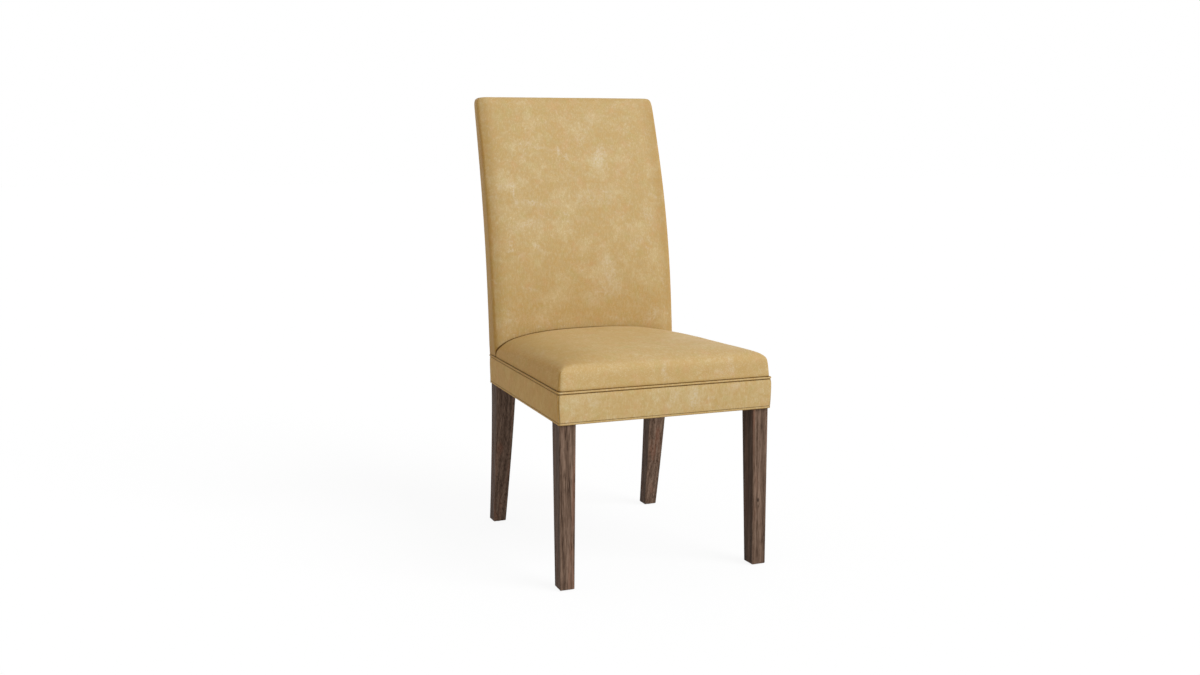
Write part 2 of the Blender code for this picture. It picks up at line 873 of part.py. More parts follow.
leather = make_material("tan leather", (0.56, 0.40, 0.19), 0.55)
stained_wood = make_material("dark stained wood", (0.13, 0.09, 0.07), 0.45)
plain_wood = make_material("plain hardwood", (0.55, 0.38, 0.22), 0.7)
webbing = make_material("jute webbing", (0.45, 0.33, 0.18), 0.9)
foam = make_material("seat foam", (0.80, 0.72, 0.50), 0.95)
wadding = make_material("wadding", (0.85, 0.85, 0.82), 0.95)
card = make_material("card liner", (0.40, 0.31, 0.20), 0.85)
black_cloth = make_material("black lining cloth", (0.03, 0.03, 0.03), 0.9)
screw_steel = make_material("screw steel", (0.60, 0.58, 0.52), 0.35, 1.0)
glide_plastic = make_material("dark plastic", (0.05, 0.05, 0.05), 0.5)

sides = (("left", -1), ("right", 1))
front_legs = {name: build_front_leg(side, "front_leg_" + name) for name, side in sides}
rear_posts = {name: build_rear_post(side, "rear_post_" + name) for name, side in sides}
front_rail = build_rail("front_seat_rail", front_rail_place, tenon_shoulder, tenon_length, front_legs.values())
rear_rail = build_rail("rear_seat_rail", rear_rail_place, tenon_shoulder, tenon_length, rear_posts.values())
for name, side in sides:
    ends = (front_legs[name], rear_posts[name])
    side_rail = build_rail(name + "_seat_rail", side_rail_place(side), tenon_shoulder, tenon_length, ends)
    build_corner_block(side, False, "front_block_" + name, side_rail, front_rail)
    build_corner_block(side, True, "rear_block_" + name, side_rail, rear_rail)
    glide_y = front_y + leg_setback + front_foot_depth / 2
    glide_x = side * (seat_half(glide_y) - leg_inset - front_foot_width / 2)
    build_glide("front_glide_" + name, glide_x, glide_y, front_legs[name])
    glide_x = side * (post_outer(leg_bottom) + post_inner(leg_bottom)) / 2
    glide_y = (post_rear_y(leg_bottom) + post_front_y(leg_bottom)) / 2
    build_glide("rear_glide_" + name, glide_x, glide_y, rear_posts[name])
lower_rule = back_rail_place(lower_rail_bottom, lower_rail_bottom + lower_rail_height)
build_rail("back_lower_rail", lower_rule, back_tenon_shoulder, back_tenon_length, rear_posts.values())
top_rule = back_rail_place(post_top - top_rail_height, post_top)
build_rail("back_top_rail", top_rule, back_tenon_shoulder, back_tenon_length, rear_posts.values())
build_seat_webbing()
build_back_webbing()
build_seat_cushion()
build_back_cushion()
build_border()
build_cloths()
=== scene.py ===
# Leather dining chair on dark stained legs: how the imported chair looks.
# Sizes are in metres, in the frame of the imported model: X across, Y to the back, Z up.

import math

import bmesh
import bpy
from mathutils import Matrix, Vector, noise
from mathutils.bvhtree import BVHTree


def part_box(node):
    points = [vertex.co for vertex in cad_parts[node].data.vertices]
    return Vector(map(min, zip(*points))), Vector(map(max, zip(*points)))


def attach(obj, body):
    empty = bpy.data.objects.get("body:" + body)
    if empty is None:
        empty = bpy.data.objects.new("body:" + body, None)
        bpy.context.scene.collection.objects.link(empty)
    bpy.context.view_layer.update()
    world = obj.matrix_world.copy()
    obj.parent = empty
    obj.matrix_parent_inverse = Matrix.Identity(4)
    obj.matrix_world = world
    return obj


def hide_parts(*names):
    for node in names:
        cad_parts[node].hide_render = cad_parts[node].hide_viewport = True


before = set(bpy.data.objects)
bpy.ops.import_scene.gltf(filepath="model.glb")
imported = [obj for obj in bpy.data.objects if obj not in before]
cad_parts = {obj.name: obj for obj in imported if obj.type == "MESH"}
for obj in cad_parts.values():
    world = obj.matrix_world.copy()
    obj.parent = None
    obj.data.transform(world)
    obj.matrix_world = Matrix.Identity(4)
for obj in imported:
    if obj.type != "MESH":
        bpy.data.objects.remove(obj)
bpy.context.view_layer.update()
scene = bpy.context.scene

# The outline that the leather pieces share
chair = {
    "height": 1.030,
    "depth": 0.644,
    "seatDepth": 0.521,
    "seatFrontWidth": 0.4914,
    "seatRearWidth": 0.4558,
    "backLowWidth": 0.4550,
    "backTopWidth": 0.4492,
    "backThicknessLow": 0.0634,
    "backThicknessTop": 0.0524,
    "backCrown": 0.004,
    "backCornerReach": 0.034,
    "backCornerRound": 0.016,
    "backEdgeReach": 0.010,
    "backSideRoll": 0.015,
    "backTopRoll": 0.003,
    "sideRollReach": 0.035,
    "frontFlare": (0.0042, 0.0036, 0.0012),
    "rightFlare": 0.0036,
    "topTilt": 0.0014,
    "topPinch": 0.0022,
    "frameBottom": 0.3515,
    "borderHeight": 0.067,
    "weltDiameter": 0.0048,
    "weltProud": 0.0008,
    "borderCorner": 0.006,
    "leather": 0.0014,
    "softGap": 0.0008,
    "leanShares": (0.22, 0.61, 0.17),
}
fitGap = 0.0003  # between leather pieces that touch
seamEnd = 0.00096  # how far from its middle a sewn line has faded out
frontY = (chair["weltProud"] - chair["depth"]) / 2
seatRearY = frontY + chair["seatDepth"]
leanDepth = chair["depth"] - chair["seatDepth"]
weltHeight = chair["frameBottom"] + chair["borderHeight"]
bandTop = weltHeight - chair["weltDiameter"] / 2 - fitGap
cushionRim = weltHeight + chair["weltDiameter"] / 2 + fitGap
borderEnd = seatRearY - chair["leather"] - fitGap


def blend(low, high, share):
    return low + (high - low) * share


def spread(low, high, count):
    return [blend(low, high, step / (count - 1)) for step in range(count)]


def ease(value, low, high):
    share = min(1.0, max(0.0, (value - low) / (high - low)))
    return share * share * (3 - 2 * share)


def seatHalf(y):
    return blend(chair["seatFrontWidth"], chair["seatRearWidth"], (y - frontY) / chair["seatDepth"]) / 2


def backShare(z):
    return min(1.0, max(0.0, (z - weltHeight) / (chair["height"] - weltHeight)))


def backHalf(z):
    return blend(chair["backLowWidth"], chair["backTopWidth"], backShare(z)) / 2


def rearY(z):
    share = backShare(z)
    return seatRearY + leanDepth * sum(part * share ** (order + 1) for order, part in enumerate(chair["leanShares"]))


def backFrontY(x, z):
    share = backShare(z)
    thickness = blend(chair["backThicknessLow"], chair["backThicknessTop"], share)
    crown = chair["backCrown"] * (1 - (x / backHalf(z)) ** 2) * math.sin(math.pi * share)
    return rearY(z) - thickness - crown


def rolled(fromSide):
    # how far the front of the back falls away near its sides
    share = min(1.0, max(0.0, 1 - fromSide / chair["sideRollReach"]))
    return chair["backSideRoll"] * (1 - math.sqrt(1 - share ** 2))


def topPinch(z):
    return chair["topPinch"] * ease(z, chair["height"] - 0.19, chair["height"])


def coverHalf(z, layer=0, right=False):
    # half width of the inside back: fuller in front, most of all on the right at mid height
    half = backHalf(z) + chair["frontFlare"][layer] - (topPinch(z) if layer == 2 else 0.0)
    # it comes in to the frame's width above the seat
    half -= chair["frontFlare"][layer] * (0.8 * (1 - ease(z, cushionRim, cushionRim + 0.030))
                                          + 0.2 * (1 - ease(z, cushionRim, cushionRim + 0.180)))
    fuller = blend(0.5, 1.0, ease(z, 0.50, 0.64) * (1 - ease(z, 0.80, 0.94))) * (1.0, 0.8, 0.0)[layer]
    return half + (chair["rightFlare"] * fuller if right else 0.0)


def coverY(x, z):
    return backFrontY(x, z) + rolled(coverHalf(z, 0, x > 0) - abs(x))


def cornered(x, z, half, top):
    # near a top corner of the back the outline follows a quarter of a circle
    radius = chair["backCornerRound"]
    across, up = (x - half + radius) / radius, (z - top + radius) / radius
    if across <= 0 or up <= 0:
        return x, z
    return (half - radius + radius * across * math.sqrt(1 - up ** 2 / 2),
            top - radius + radius * up * math.sqrt(1 - across ** 2 / 2))


def borderPath(inset, radius, endY, extra=(), sideSteps=22, arcSteps=8, frontSteps=16):
    # right side from the back to the front corner, then mirrored round the front
    cornerY = frontY + inset + radius
    ys = sorted(set(spread(cornerY, endY, sideSteps + 1)[1:]) | set(extra), reverse=True)
    side = [(seatHalf(y) - inset, y) for y in ys]
    cornerX = seatHalf(frontY) - inset - radius
    arc = [(cornerX + radius * math.cos(turn), cornerY + radius * math.sin(turn))
           for turn in spread(0.0, -math.pi / 2, arcSteps + 1)]
    front = [(x, frontY + inset) for x in spread(cornerX, -cornerX, frontSteps + 1)[1:-1]]
    right = side + arc
    return right + front + [(-x, y) for x, y in right[::-1]]


# Camera at the photograph's viewing angle
viewpoint = {
    "place": (-1.12065, -2.69447, 0.90833),
    "target": (-0.0593, -0.0872, 0.4908),
    "lens": 38.34,
    "sensor": 36.0,
}
camera = bpy.data.objects.new("camera", bpy.data.cameras.new("camera"))
scene.collection.objects.link(camera)
camera.location = viewpoint["place"]
heading = Vector(viewpoint["target"]) - camera.location
camera.rotation_euler = heading.to_track_quat("-Z", "Y").to_euler()
camera.data.sensor_width = viewpoint["sensor"]
camera.data.lens = viewpoint["lens"]
scene.camera = camera
print("camera placed")


# Node helpers: a socket given as an input is linked, anything else is its value

def lay(tree, kind, inputs=None, **settings):
    made = tree.nodes.new(kind)
    for key, value in settings.items():
        setattr(made, key, value)
    for key, value in (inputs or {}).items():
        if isinstance(value, bpy.types.NodeSocket):
            tree.links.new(value, made.inputs[key])
        else:
            made.inputs[key].default_value = value
    return made


def put(tree, kind, inputs=None, **settings):
    return lay(tree, "ShaderNode" + kind, inputs, **settings)


def geo(tree, kind, inputs=None, **settings):
    return lay(tree, "GeometryNode" + kind, inputs, **settings).outputs[0]


def calc(tree, operation, first, second=0.0, clamped=False):
    return put(tree, "Math", {0: first, 1: second}, operation=operation, use_clamp=clamped).outputs[0]


def times(tree, first, second):
    return calc(tree, "MULTIPLY", first, second)


def plus(tree, first, second, clamped=False):
    return calc(tree, "ADD", first, second, clamped)


def ramp(tree, value, low, high, toLow=0.0, toHigh=1.0):
    made = put(tree, "MapRange", {0: value, 1: low, 2: high, 3: toLow, 4: toHigh})
    made.interpolation_type = "SMOOTHSTEP"
    return made.outputs[0]


def tint(tree, factor, first, second, way="MIX"):
    made = put(tree, "Mix", {0: factor, 6: first, 7: second}, data_type="RGBA", blend_type=way)
    return made.outputs[2]


def grainNoise(tree, vector, scale, detail=3.0, rough=0.5, bent=0.0):
    inputs = {"Vector": vector, "Scale": scale, "Detail": detail, "Roughness": rough, "Distortion": bent}
    return put(tree, "TexNoise", inputs).outputs["Fac"]


def cells(tree, vector, scale, feature):
    return put(tree, "TexVoronoi", {"Vector": vector, "Scale": scale}, feature=feature).outputs["Distance"]


def stretched(tree, vector, scale, shift=(0, 0, 0)):
    return put(tree, "Mapping", {"Vector": vector, "Scale": scale, "Location": shift}).outputs["Vector"]


def ridges(tree, bumps, low, high):
    # thin lines where the bumps cross their middle
    return ramp(tree, calc(tree, "ABSOLUTE", calc(tree, "SUBTRACT", bumps, 0.5)), low, high, 1.0, 0.0)


def objectPlace(tree):
    return put(tree, "TexCoord").outputs["Object"]


def parts(tree, vector):
    return put(tree, "SeparateXYZ", {0: vector}).outputs


def shifted(tree, operation, first, second):
    return put(tree, "VectorMath", {0: first, 1: second}, operation=operation).outputs[0]


def newGroup(name, inputs, outputs):
    group = bpy.data.node_groups.new(name, "ShaderNodeTree")
    kinds = {"colour": "NodeSocketColor", "value": "NodeSocketFloat", "vector": "NodeSocketVector"}
    for label, kind, value in inputs:
        group.interface.new_socket(name=label, in_out="INPUT", socket_type=kinds[kind]).default_value = value
    for label, kind in outputs:
        group.interface.new_socket(name=label, in_out="OUTPUT", socket_type=kinds[kind])
    return group, group.nodes.new("NodeGroupInput").outputs, group.nodes.new("NodeGroupOutput").inputs


def colour(red, green, blue):
    # written as seen on screen, 0 to 255
    return tuple(((part / 255 + 0.055) / 1.055) ** 2.4 for part in (red, green, blue)) + (1.0,)


# Leather: soft clouds, mottling, pale scratches and fine grain

def makeHideGroup():
    group, given, result = newGroup("hide surface", (
        ("Base", "colour", colour(198, 168, 113)),
        ("Pale", "colour", colour(211, 191, 148)),
        ("Worn", "colour", colour(216, 202, 176)),
        ("Warm", "colour", colour(192, 159, 101)),
        ("Cloud size", "value", 10.0),
        ("Cloud amount", "value", 0.5),
        ("Scratch amount", "value", 0.5),
        ("Grain size", "value", 620.0),
        ("Brush way", "vector", (1.0, 1.0, 0.25)),
        ("Scuff", "value", 0.0),
        ("Seam", "value", 0.0),
        ("Pucker", "value", 0.0),
        ("Painted shade", "value", 0.0),
        ("Facing shade", "value", 0.0),
    ), (("Colour", "colour"), ("Roughness", "value"), ("Height", "value")))
    place = objectPlace(group)
    cloud = grainNoise(group, place, given["Cloud size"], 5.0, 0.62, 0.3)
    drift = grainNoise(group, stretched(group, place, (1, 1, 1), (3.1, 1.7, 0.4)), 22.0, 4.0, 0.6, 0.6)
    brushed = grainNoise(group, stretched(group, place, given["Brush way"], (0.6, 2.2, 1.4)), 330.0, 3.0, 0.6)
    mottle = grainNoise(group, place, 78.0, 6.0, 0.70, 0.5)
    speck = grainNoise(group, place, 400.0, 3.0, 0.6)
    hue = grainNoise(group, stretched(group, place, (1, 1, 1), (1.3, 0.2, 4.4)), 38.0, 4.0, 0.6)

    # pale veins: thin cell borders and the ridges of a bent noise, kept only in patches
    bend = put(group, "TexNoise", {"Vector": place, "Scale": 21.0, "Detail": 4.0, "Roughness": 0.65}).outputs["Color"]
    bent = put(group, "VectorMath", {0: bend, 3: 0.075}, operation="SCALE").outputs[0]
    moved = shifted(group, "ADD", place, bent)
    vein = ramp(group, cells(group, moved, 19.0, "DISTANCE_TO_EDGE"), 0.002, 0.05, 1.0, 0.0)
    ridged = grainNoise(group, stretched(group, moved, (1, 1, 1), (5.0, 0.3, 1.9)), 26.0, 3.0, 0.55, 0.8)
    ridge = ridges(group, ridged, 0.004, 0.030)
    broken = ramp(group, grainNoise(group, place, 95.0, 3.0, 0.6), 0.38, 0.62)
    vein = times(group, calc(group, "MAXIMUM", times(group, vein, 0.7), ridge), broken)
    fineRidge = grainNoise(group, stretched(group, moved, (1, 1, 1), (2.4, 7.1, 0.6)), 74.0, 2.0, 0.5, 0.6)
    hair = ridges(group, fineRidge, 0.006, 0.045)
    patch = ramp(group, drift, 0.48, 0.66)
    scratch = times(group, times(group, vein, patch), given["Scratch amount"])
    scuffNoise = grainNoise(group, stretched(group, place, (1, 1, 1), (0, 0, 2.2)), 120.0, 5.0, 0.75, 1.2)
    scuff = times(group, given["Scuff"], ramp(group, scuffNoise, 0.40, 0.62))

    skin = tint(group, ramp(group, mottle, 0.38, 0.66), given["Base"], given["Warm"])
    skin = tint(group, ramp(group, hue, 0.52, 0.70, 0.0, 0.35), skin, colour(182, 166, 104))
    skin = tint(group, ramp(group, hue, 0.48, 0.30, 0.0, 0.35), skin, colour(204, 158, 112))
    paleness = times(group, ramp(group, cloud, 0.46, 0.70), given["Cloud amount"])
    paleness = plus(group, paleness, times(group, ramp(group, mottle, 0.50, 0.34), 0.16))
    paleness = plus(group, paleness, times(group, ramp(group, speck, 0.52, 0.66), 0.26))
    hair = times(group, times(group, hair, ramp(group, cloud, 0.36, 0.60)), 0.32)
    hair = plus(group, hair, times(group, ramp(group, brushed, 0.48, 0.66), 0.32))
    paleness = plus(group, paleness, hair, True)
    skin = tint(group, paleness, skin, given["Pale"])
    skin = tint(group, plus(group, scratch, times(group, scuff, 0.7), True), skin, given["Worn"])
    # painted shade: an ochre darkening where each piece's rules put shade, in creases, near gaps and edges and on
    # turned-away sides
    skin = tint(group, times(group, given["Painted shade"], 0.45), skin, colour(160, 122, 56))
    # painted shade: a darker, more saturated colour on faces that turn away from the light
    skin = tint(group, given["Facing shade"], skin, (0.96, 0.80, 0.52, 1.0), "MULTIPLY")
    # dark sewn lines, and painted shadow lines along creases and gaps
    skin = tint(group, times(group, given["Seam"], 0.9), skin, colour(92, 60, 12))
    group.links.new(skin, result["Colour"])

    shine = plus(group, times(group, mottle, 0.16), 0.46)
    shine = plus(group, shine, times(group, paleness, 0.10))
    group.links.new(plus(group, shine, times(group, given["Seam"], 0.15), True), result["Roughness"])

    grain = cells(group, place, given["Grain size"], "SMOOTH_F1")
    crease = cells(group, moved, 210.0, "DISTANCE_TO_EDGE")
    height = times(group, grain, 0.30)
    height = plus(group, height, times(group, ramp(group, crease, 0.0, 0.10), 0.20))
    height = plus(group, height, times(group, speck, 0.35))
    height = plus(group, height, times(group, mottle, 0.5))
    height = plus(group, height, times(group, given["Pucker"], 0.8))
    height = calc(group, "SUBTRACT", height, times(group, given["Seam"], 2.6))
    group.links.new(height, result["Height"])
    return group


# A dark line, sewn or a painted shadow along a crease or gap: distance from it in metres, and how strongly it shows

def makeSeamGroup():
    group, given, result = newGroup("sewn and shade line", (
        ("Distance", "value", 1.0),
        ("Strength", "value", 0.0),
        ("Half width", "value", 0.0006),
        ("Along", "value", 0.0),
    ), (("Line", "value"), ("Pucker", "value")))
    away = calc(group, "ABSOLUTE", given["Distance"])
    line = ramp(group, calc(group, "DIVIDE", away, given["Half width"]), 0.6, 1.6, 1.0, 0.0)
    group.links.new(times(group, line, given["Strength"]), result["Line"])
    near = ramp(group, away, 0.0012, 0.006, 1.0, 0.0)
    ripple = calc(group, "SINE", times(group, given["Along"], 900.0))
    group.links.new(times(group, times(group, near, ripple), given["Strength"]), result["Pucker"])
    return group


# Wood: long fibres, growth bands, open pores, rubbed edges and one knot

def makeWoodGroup():
    group, given, result = newGroup("wood grain", (
        ("Dark", "colour", colour(56, 41, 32)),
        ("Mid", "colour", colour(105, 84, 70)),
        ("Light", "colour", colour(142, 118, 101)),
        ("Red", "colour", colour(122, 84, 66)),
        ("Fibre length", "value", 0.055),
        ("Fibre size", "value", 420.0),
        ("Edge wear", "value", 0.22),
        ("Side shade", "value", 0.45),
        ("Knot", "vector", (0.0, 0.0, -5.0)),
        ("Shift", "vector", (0.0, 0.0, 0.0)),
    ), (("Colour", "colour"), ("Roughness", "value"), ("Height", "value")))
    place = objectPlace(group)

    # grain runs round the knot: push the coordinates sideways near it
    offset = shifted(group, "SUBTRACT", place, given["Knot"])
    contactShade = shifted(group, "MULTIPLY", offset, (1.0, 1.0, 0.45))
    away = put(group, "VectorMath", {0: contactShade}, operation="LENGTH").outputs["Value"]
    swell = ramp(group, away, 0.001, 0.011, 0.62, 0.0)
    push = put(group, "VectorMath", {0: offset, 3: swell}, operation="SCALE").outputs[0]
    bentPlace = shifted(group, "SUBTRACT", place, push)
    bentPlace = shifted(group, "ADD", bentPlace, given["Shift"])

    squash = put(group, "CombineXYZ", {0: 1.0, 1: 1.0, 2: given["Fibre length"]}).outputs[0]
    fibreWay = shifted(group, "MULTIPLY", bentPlace, squash)
    fibre = grainNoise(group, fibreWay, given["Fibre size"], 5.0, 0.62)
    fine = grainNoise(group, fibreWay, 640.0, 3.0, 0.6)
    broad = grainNoise(group, fibreWay, 62.0, 4.0, 0.55, 0.4)
    blotch = grainNoise(group, place, 24.0, 4.0, 0.6)
    bandWay = stretched(group, bentPlace, (1, 0.7, 0.035))
    bands = put(group, "TexWave", {"Vector": bandWay, "Scale": 46.0, "Distortion": 5.5, "Detail": 3.0,
                                   "Detail Scale": 1.4}, bands_direction="DIAGONAL").outputs["Fac"]

    tone = plus(group, times(group, fibre, 0.55), times(group, bands, 0.16))
    tone = plus(group, tone, times(group, broad, 0.45))
    tone = plus(group, tone, times(group, blotch, 0.16))
    skin = tint(group, ramp(group, tone, 0.38, 0.66), given["Dark"], given["Mid"])
    skin = tint(group, ramp(group, tone, 0.62, 0.86), skin, given["Light"])
    skin = tint(group, ramp(group, broad, 0.52, 0.68, 0.0, 0.65), skin, given["Red"])
    pore = ramp(group, fine, 0.34, 0.46, 1.0, 0.0)
    skin = tint(group, ramp(group, fine, 0.54, 0.66, 0.0, 0.55), skin, given["Light"])
    skin = tint(group, times(group, pore, 0.75), skin, given["Dark"])
    heart = ramp(group, away, 0.0012, 0.0032, 0.85, 0.0)
    skin = tint(group, heart, skin, colour(38, 28, 23))

    # eased edges lie between the flat faces, so their normals give them away
    normal = parts(group, put(group, "NewGeometry").outputs["True Normal"])
    across = times(group, calc(group, "ABSOLUTE", normal[0]), calc(group, "ABSOLUTE", normal[1]))
    rubbed = times(group, ramp(group, across, 0.25, 0.45), given["Edge wear"])
    rubbed = times(group, rubbed, ramp(group, grainNoise(group, place, 70.0, 4.0, 0.6), 0.35, 0.65))
    skin = tint(group, rubbed, skin, given["Light"])
    # painted shade: faces turned sideways, across the chair, are darker
    sideways = ramp(group, calc(group, "ABSOLUTE", normal[0]), 0.80, 0.97)
    skin = tint(group, times(group, sideways, given["Side shade"]), skin, given["Dark"])
    group.links.new(skin, result["Colour"])

    shine = plus(group, 0.40, times(group, fibre, 0.22))
    group.links.new(plus(group, shine, times(group, pore, 0.2), True), result["Roughness"])
    height = plus(group, times(group, fibre, 0.6), times(group, fine, 0.35))
    group.links.new(calc(group, "SUBTRACT", height, times(group, pore, 0.8)), result["Height"])
    return group


# Threads over and under each other, for webbing and lining cloth

def makeWeaveGroup():
    group, given, result = newGroup("woven threads", (
        ("Thread", "colour", colour(170, 140, 98)),
        ("Gap", "colour", colour(70, 54, 34)),
        ("Across", "value", 0.0),
        ("Along", "value", 0.0),
        ("Pitch", "value", 0.0016),
        ("Unevenness", "value", 0.5),
    ), (("Colour", "colour"), ("Roughness", "value"), ("Height", "value")))
    place = objectPlace(group)
    waves = []
    for side in ("Across", "Along"):
        turn = times(group, calc(group, "DIVIDE", given[side], given["Pitch"]), math.pi)
        waves.append(calc(group, "ABSOLUTE", calc(group, "SINE", turn)))
    over = calc(group, "MAXIMUM", waves[0], waves[1])
    hollow = times(group, waves[0], waves[1])
    height = plus(group, times(group, over, 0.5), times(group, hollow, 0.5))
    lint = grainNoise(group, place, 420.0, 4.0, 0.7)
    patchy = times(group, calc(group, "SUBTRACT", lint, 0.5), given["Unevenness"])
    tone = plus(group, ramp(group, height, 0.35, 0.85), patchy, True)
    group.links.new(tint(group, tone, given["Gap"], given["Thread"]), result["Colour"])
    group.links.new(plus(group, 0.78, times(group, lint, 0.2), True), result["Roughness"])
    group.links.new(plus(group, height, times(group, lint, 0.3)), result["Height"])
    return group


hideGroup = makeHideGroup()
seamGroup = makeSeamGroup()
woodGroup = makeWoodGroup()
weaveGroup = makeWeaveGroup()


def newFinish(name, group, values, bumpDistance, bumpStrength=0.6, plain=None):
    finish = bpy.data.materials.new(name)
    finish.use_nodes = True
    tree = finish.node_tree
    shader = tree.nodes["Principled BSDF"]
    for key, value in (plain or {}).items():
        shader.inputs[key].default_value = value
    surface = put(tree, "Group", node_tree=group)
    for key, value in values.items():
        surface.inputs[key].default_value = value
    tree.links.new(surface.outputs["Colour"], shader.inputs["Base Color"])
    tree.links.new(surface.outputs["Roughness"], shader.inputs["Roughness"])
    bump = put(tree, "Bump", {"Height": surface.outputs["Height"], "Strength": bumpStrength,
                              "Distance": bumpDistance})
    tree.links.new(bump.outputs["Normal"], shader.inputs["Normal"])
    return finish, tree, surface


# Each leather piece carries its sewn lines, painted shadow lines, scuffs and painted shade as attributes

def leatherFinish(name, values):
    finish, tree, surface = newFinish(name, hideGroup, values, 0.00028, 0.55, {"Specular IOR Level": 0.12})
    place = parts(tree, objectPlace(tree))

    def stored(attribute):
        return parts(tree, put(tree, "Attribute", attribute_name=attribute).outputs["Vector"])

    lines, puckers = [], []
    for attribute, along in (("seamAndShadeLine", plus(tree, place[0], place[1])), ("seamUpright", place[2])):
        sewn = put(tree, "Group", node_tree=seamGroup)
        for label, value in zip(("Distance", "Strength", "Along"), (*stored(attribute)[:2], along)):
            tree.links.new(value, sewn.inputs[label])
        lines.append(sewn.outputs["Line"])
        puckers.append(sewn.outputs["Pucker"])
    tree.links.new(calc(tree, "MAXIMUM", lines[0], lines[1]), surface.inputs["Seam"])
    tree.links.new(plus(tree, puckers[0], puckers[1]), surface.inputs["Pucker"])
    for label, value in zip(("Scuff", "Painted shade", "Facing shade"), stored("wearAndShade")):
        tree.links.new(value, surface.inputs[label])
    return finish


backLeather = leatherFinish("tan leather back", {"Cloud size": 15.0, "Cloud amount": 0.30, "Scratch amount": 0.42,
                                                 "Base": colour(189, 160, 108)})
seatLeather = leatherFinish("tan leather seat", {"Cloud size": 17.0, "Cloud amount": 0.12, "Scratch amount": 0.28,
                                                 "Base": colour(194, 161, 104), "Brush way": (1.0, 0.2, 1.0)})
bandLeather = leatherFinish("tan leather border", {"Cloud size": 17.0, "Cloud amount": 0.28, "Scratch amount": 0.45})
weltLeather = leatherFinish("tan leather piping", {"Cloud size": 30.0, "Cloud amount": 0.3, "Scratch amount": 0.2,
                                                   "Base": colour(200, 167, 113)})
print("leather ready")

# Wood and the hidden materials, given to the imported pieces
woods = {
    "front_leg_left": {"Knot": (-0.2120, -0.2830, 0.0900), "Shift": (0.00, 0.00, 0.0)},
    "front_leg_right": {"Knot": (0.2206, -0.3152, 0.1476), "Shift": (0.31, 0.12, 0.7)},
    "rear_post_left": {"Knot": (-0.1900, 0.2500, 0.1300), "Shift": (0.53, 0.41, 0.3)},
    "rear_post_right": {"Knot": (0.2180, 0.1800, 0.2450), "Shift": (0.77, 0.23, 0.9)},
}


def dress(finish, *names):
    for name in names:
        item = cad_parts[name]
        for slot in item.material_slots:
            slot.material = finish
        if not item.material_slots:
            item.data.materials.append(finish)


for name, values in woods.items():
    title = "stained wood " + name.replace("_", " ")
    dress(newFinish(title, woodGroup, values, 0.00022, 0.6, {"Specular IOR Level": 0.04})[0], name)

paleWood = {
    "Dark": colour(150, 112, 70),
    "Mid": colour(196, 158, 110),
    "Light": colour(214, 182, 138),
    "Red": colour(190, 142, 96),
    "Edge wear": 0.2,
    "Side shade": 0.0,
}
railNodes = [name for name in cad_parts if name.endswith("_rail")]
blockNodes = [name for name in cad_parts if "_block_" in name and "screw" not in name]
dress(newFinish("plain hardwood", woodGroup, paleWood, 0.00025)[0], *railNodes, *blockNodes)


def makeSpeckGroup():
    # small even specks, for foam, card, felt, moulded plastic and zinc plating
    group, given, result = newGroup("fine specks", (
        ("Ground", "colour", colour(128, 128, 128)),
        ("Fleck", "colour", colour(90, 90, 90)),
        ("Size", "value", 500.0),
        ("Contrast", "value", 0.5),
        ("Sheen level", "value", 0.6),
    ), (("Colour", "colour"), ("Roughness", "value"), ("Height", "value")))
    place = objectPlace(group)
    grit = cells(group, place, given["Size"], "F1")
    cloudy = grainNoise(group, place, 55.0, 5.0, 0.65)
    fleck = times(group, ramp(group, grit, 0.25, 0.65), given["Contrast"])
    skin = tint(group, fleck, given["Ground"], given["Fleck"])
    skin = tint(group, ramp(group, cloudy, 0.40, 0.75, 0.0, 0.35), skin, given["Fleck"])
    group.links.new(skin, result["Colour"])
    rough = plus(group, given["Sheen level"], times(group, cloudy, 0.2), True)
    group.links.new(rough, result["Roughness"])
    group.links.new(plus(group, grit, cloudy), result["Height"])
    return group


speckGroup = makeSpeckGroup()


def speckFinish(name, ground, fleck, size, sheen, contrast=0.5, bump=(0.0002, 0.4), plain=None):
    values = {"Ground": colour(*ground), "Fleck": colour(*fleck), "Size": size, "Sheen level": sheen,
              "Contrast": contrast}
    return newFinish(name, speckGroup, values, *bump, plain)[0]


metal = {"Metallic": 1.0}
screwNodes = [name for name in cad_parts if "_screw_" in name]
glideNodes = [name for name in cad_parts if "_glide_" in name]
dress(speckFinish("foam", (236, 222, 184), (206, 186, 140), 900.0, 0.8), "seat_foam", "back_foam", "top_foam_strip")
dress(speckFinish("card", (158, 134, 102), (128, 106, 78), 700.0, 0.7), "back_liner")
dress(speckFinish("felt wadding", (232, 230, 224), (204, 202, 196), 600.0, 0.85), "border_wadding")
dress(speckFinish("glide plastic", (46, 44, 42), (30, 29, 28), 1500.0, 0.38, 0.3), *glideNodes)
dress(speckFinish("screw steel", (186, 184, 176), (150, 146, 134), 1200.0, 0.28, 0.4, plain=metal), *screwNodes)


def weaveFinish(name, values, turn, distance):
    # threads lie along the two sides of a flat strap, so they read plain places
    finish, tree, surface = newFinish(name, weaveGroup, values, distance, 0.8)
    place = parts(tree, objectPlace(tree))
    tree.links.new(place[0], surface.inputs["Across"])
    tree.links.new(place[turn], surface.inputs["Along"])
    return finish


for place, turn in (("seat", 1), ("back", 2)):
    dress(weaveFinish("jute webbing " + place, {"Pitch": 0.0022}, turn, 0.0006),
          *[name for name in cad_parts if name.startswith(place + "_web_")])
hessian = {"Thread": colour(188, 164, 126), "Gap": colour(96, 78, 52), "Pitch": 0.0014}
dress(weaveFinish("hessian base cloth", hessian, 1, 0.0004), "base_cloth")
lining = weaveFinish("black lining cloth", {"Thread": colour(44, 43, 42), "Gap": colour(20, 20, 20),
                                            "Pitch": 0.0011}, 1, 0.0003)
print("wood, webbing and fillings ready")


# Mesh helpers

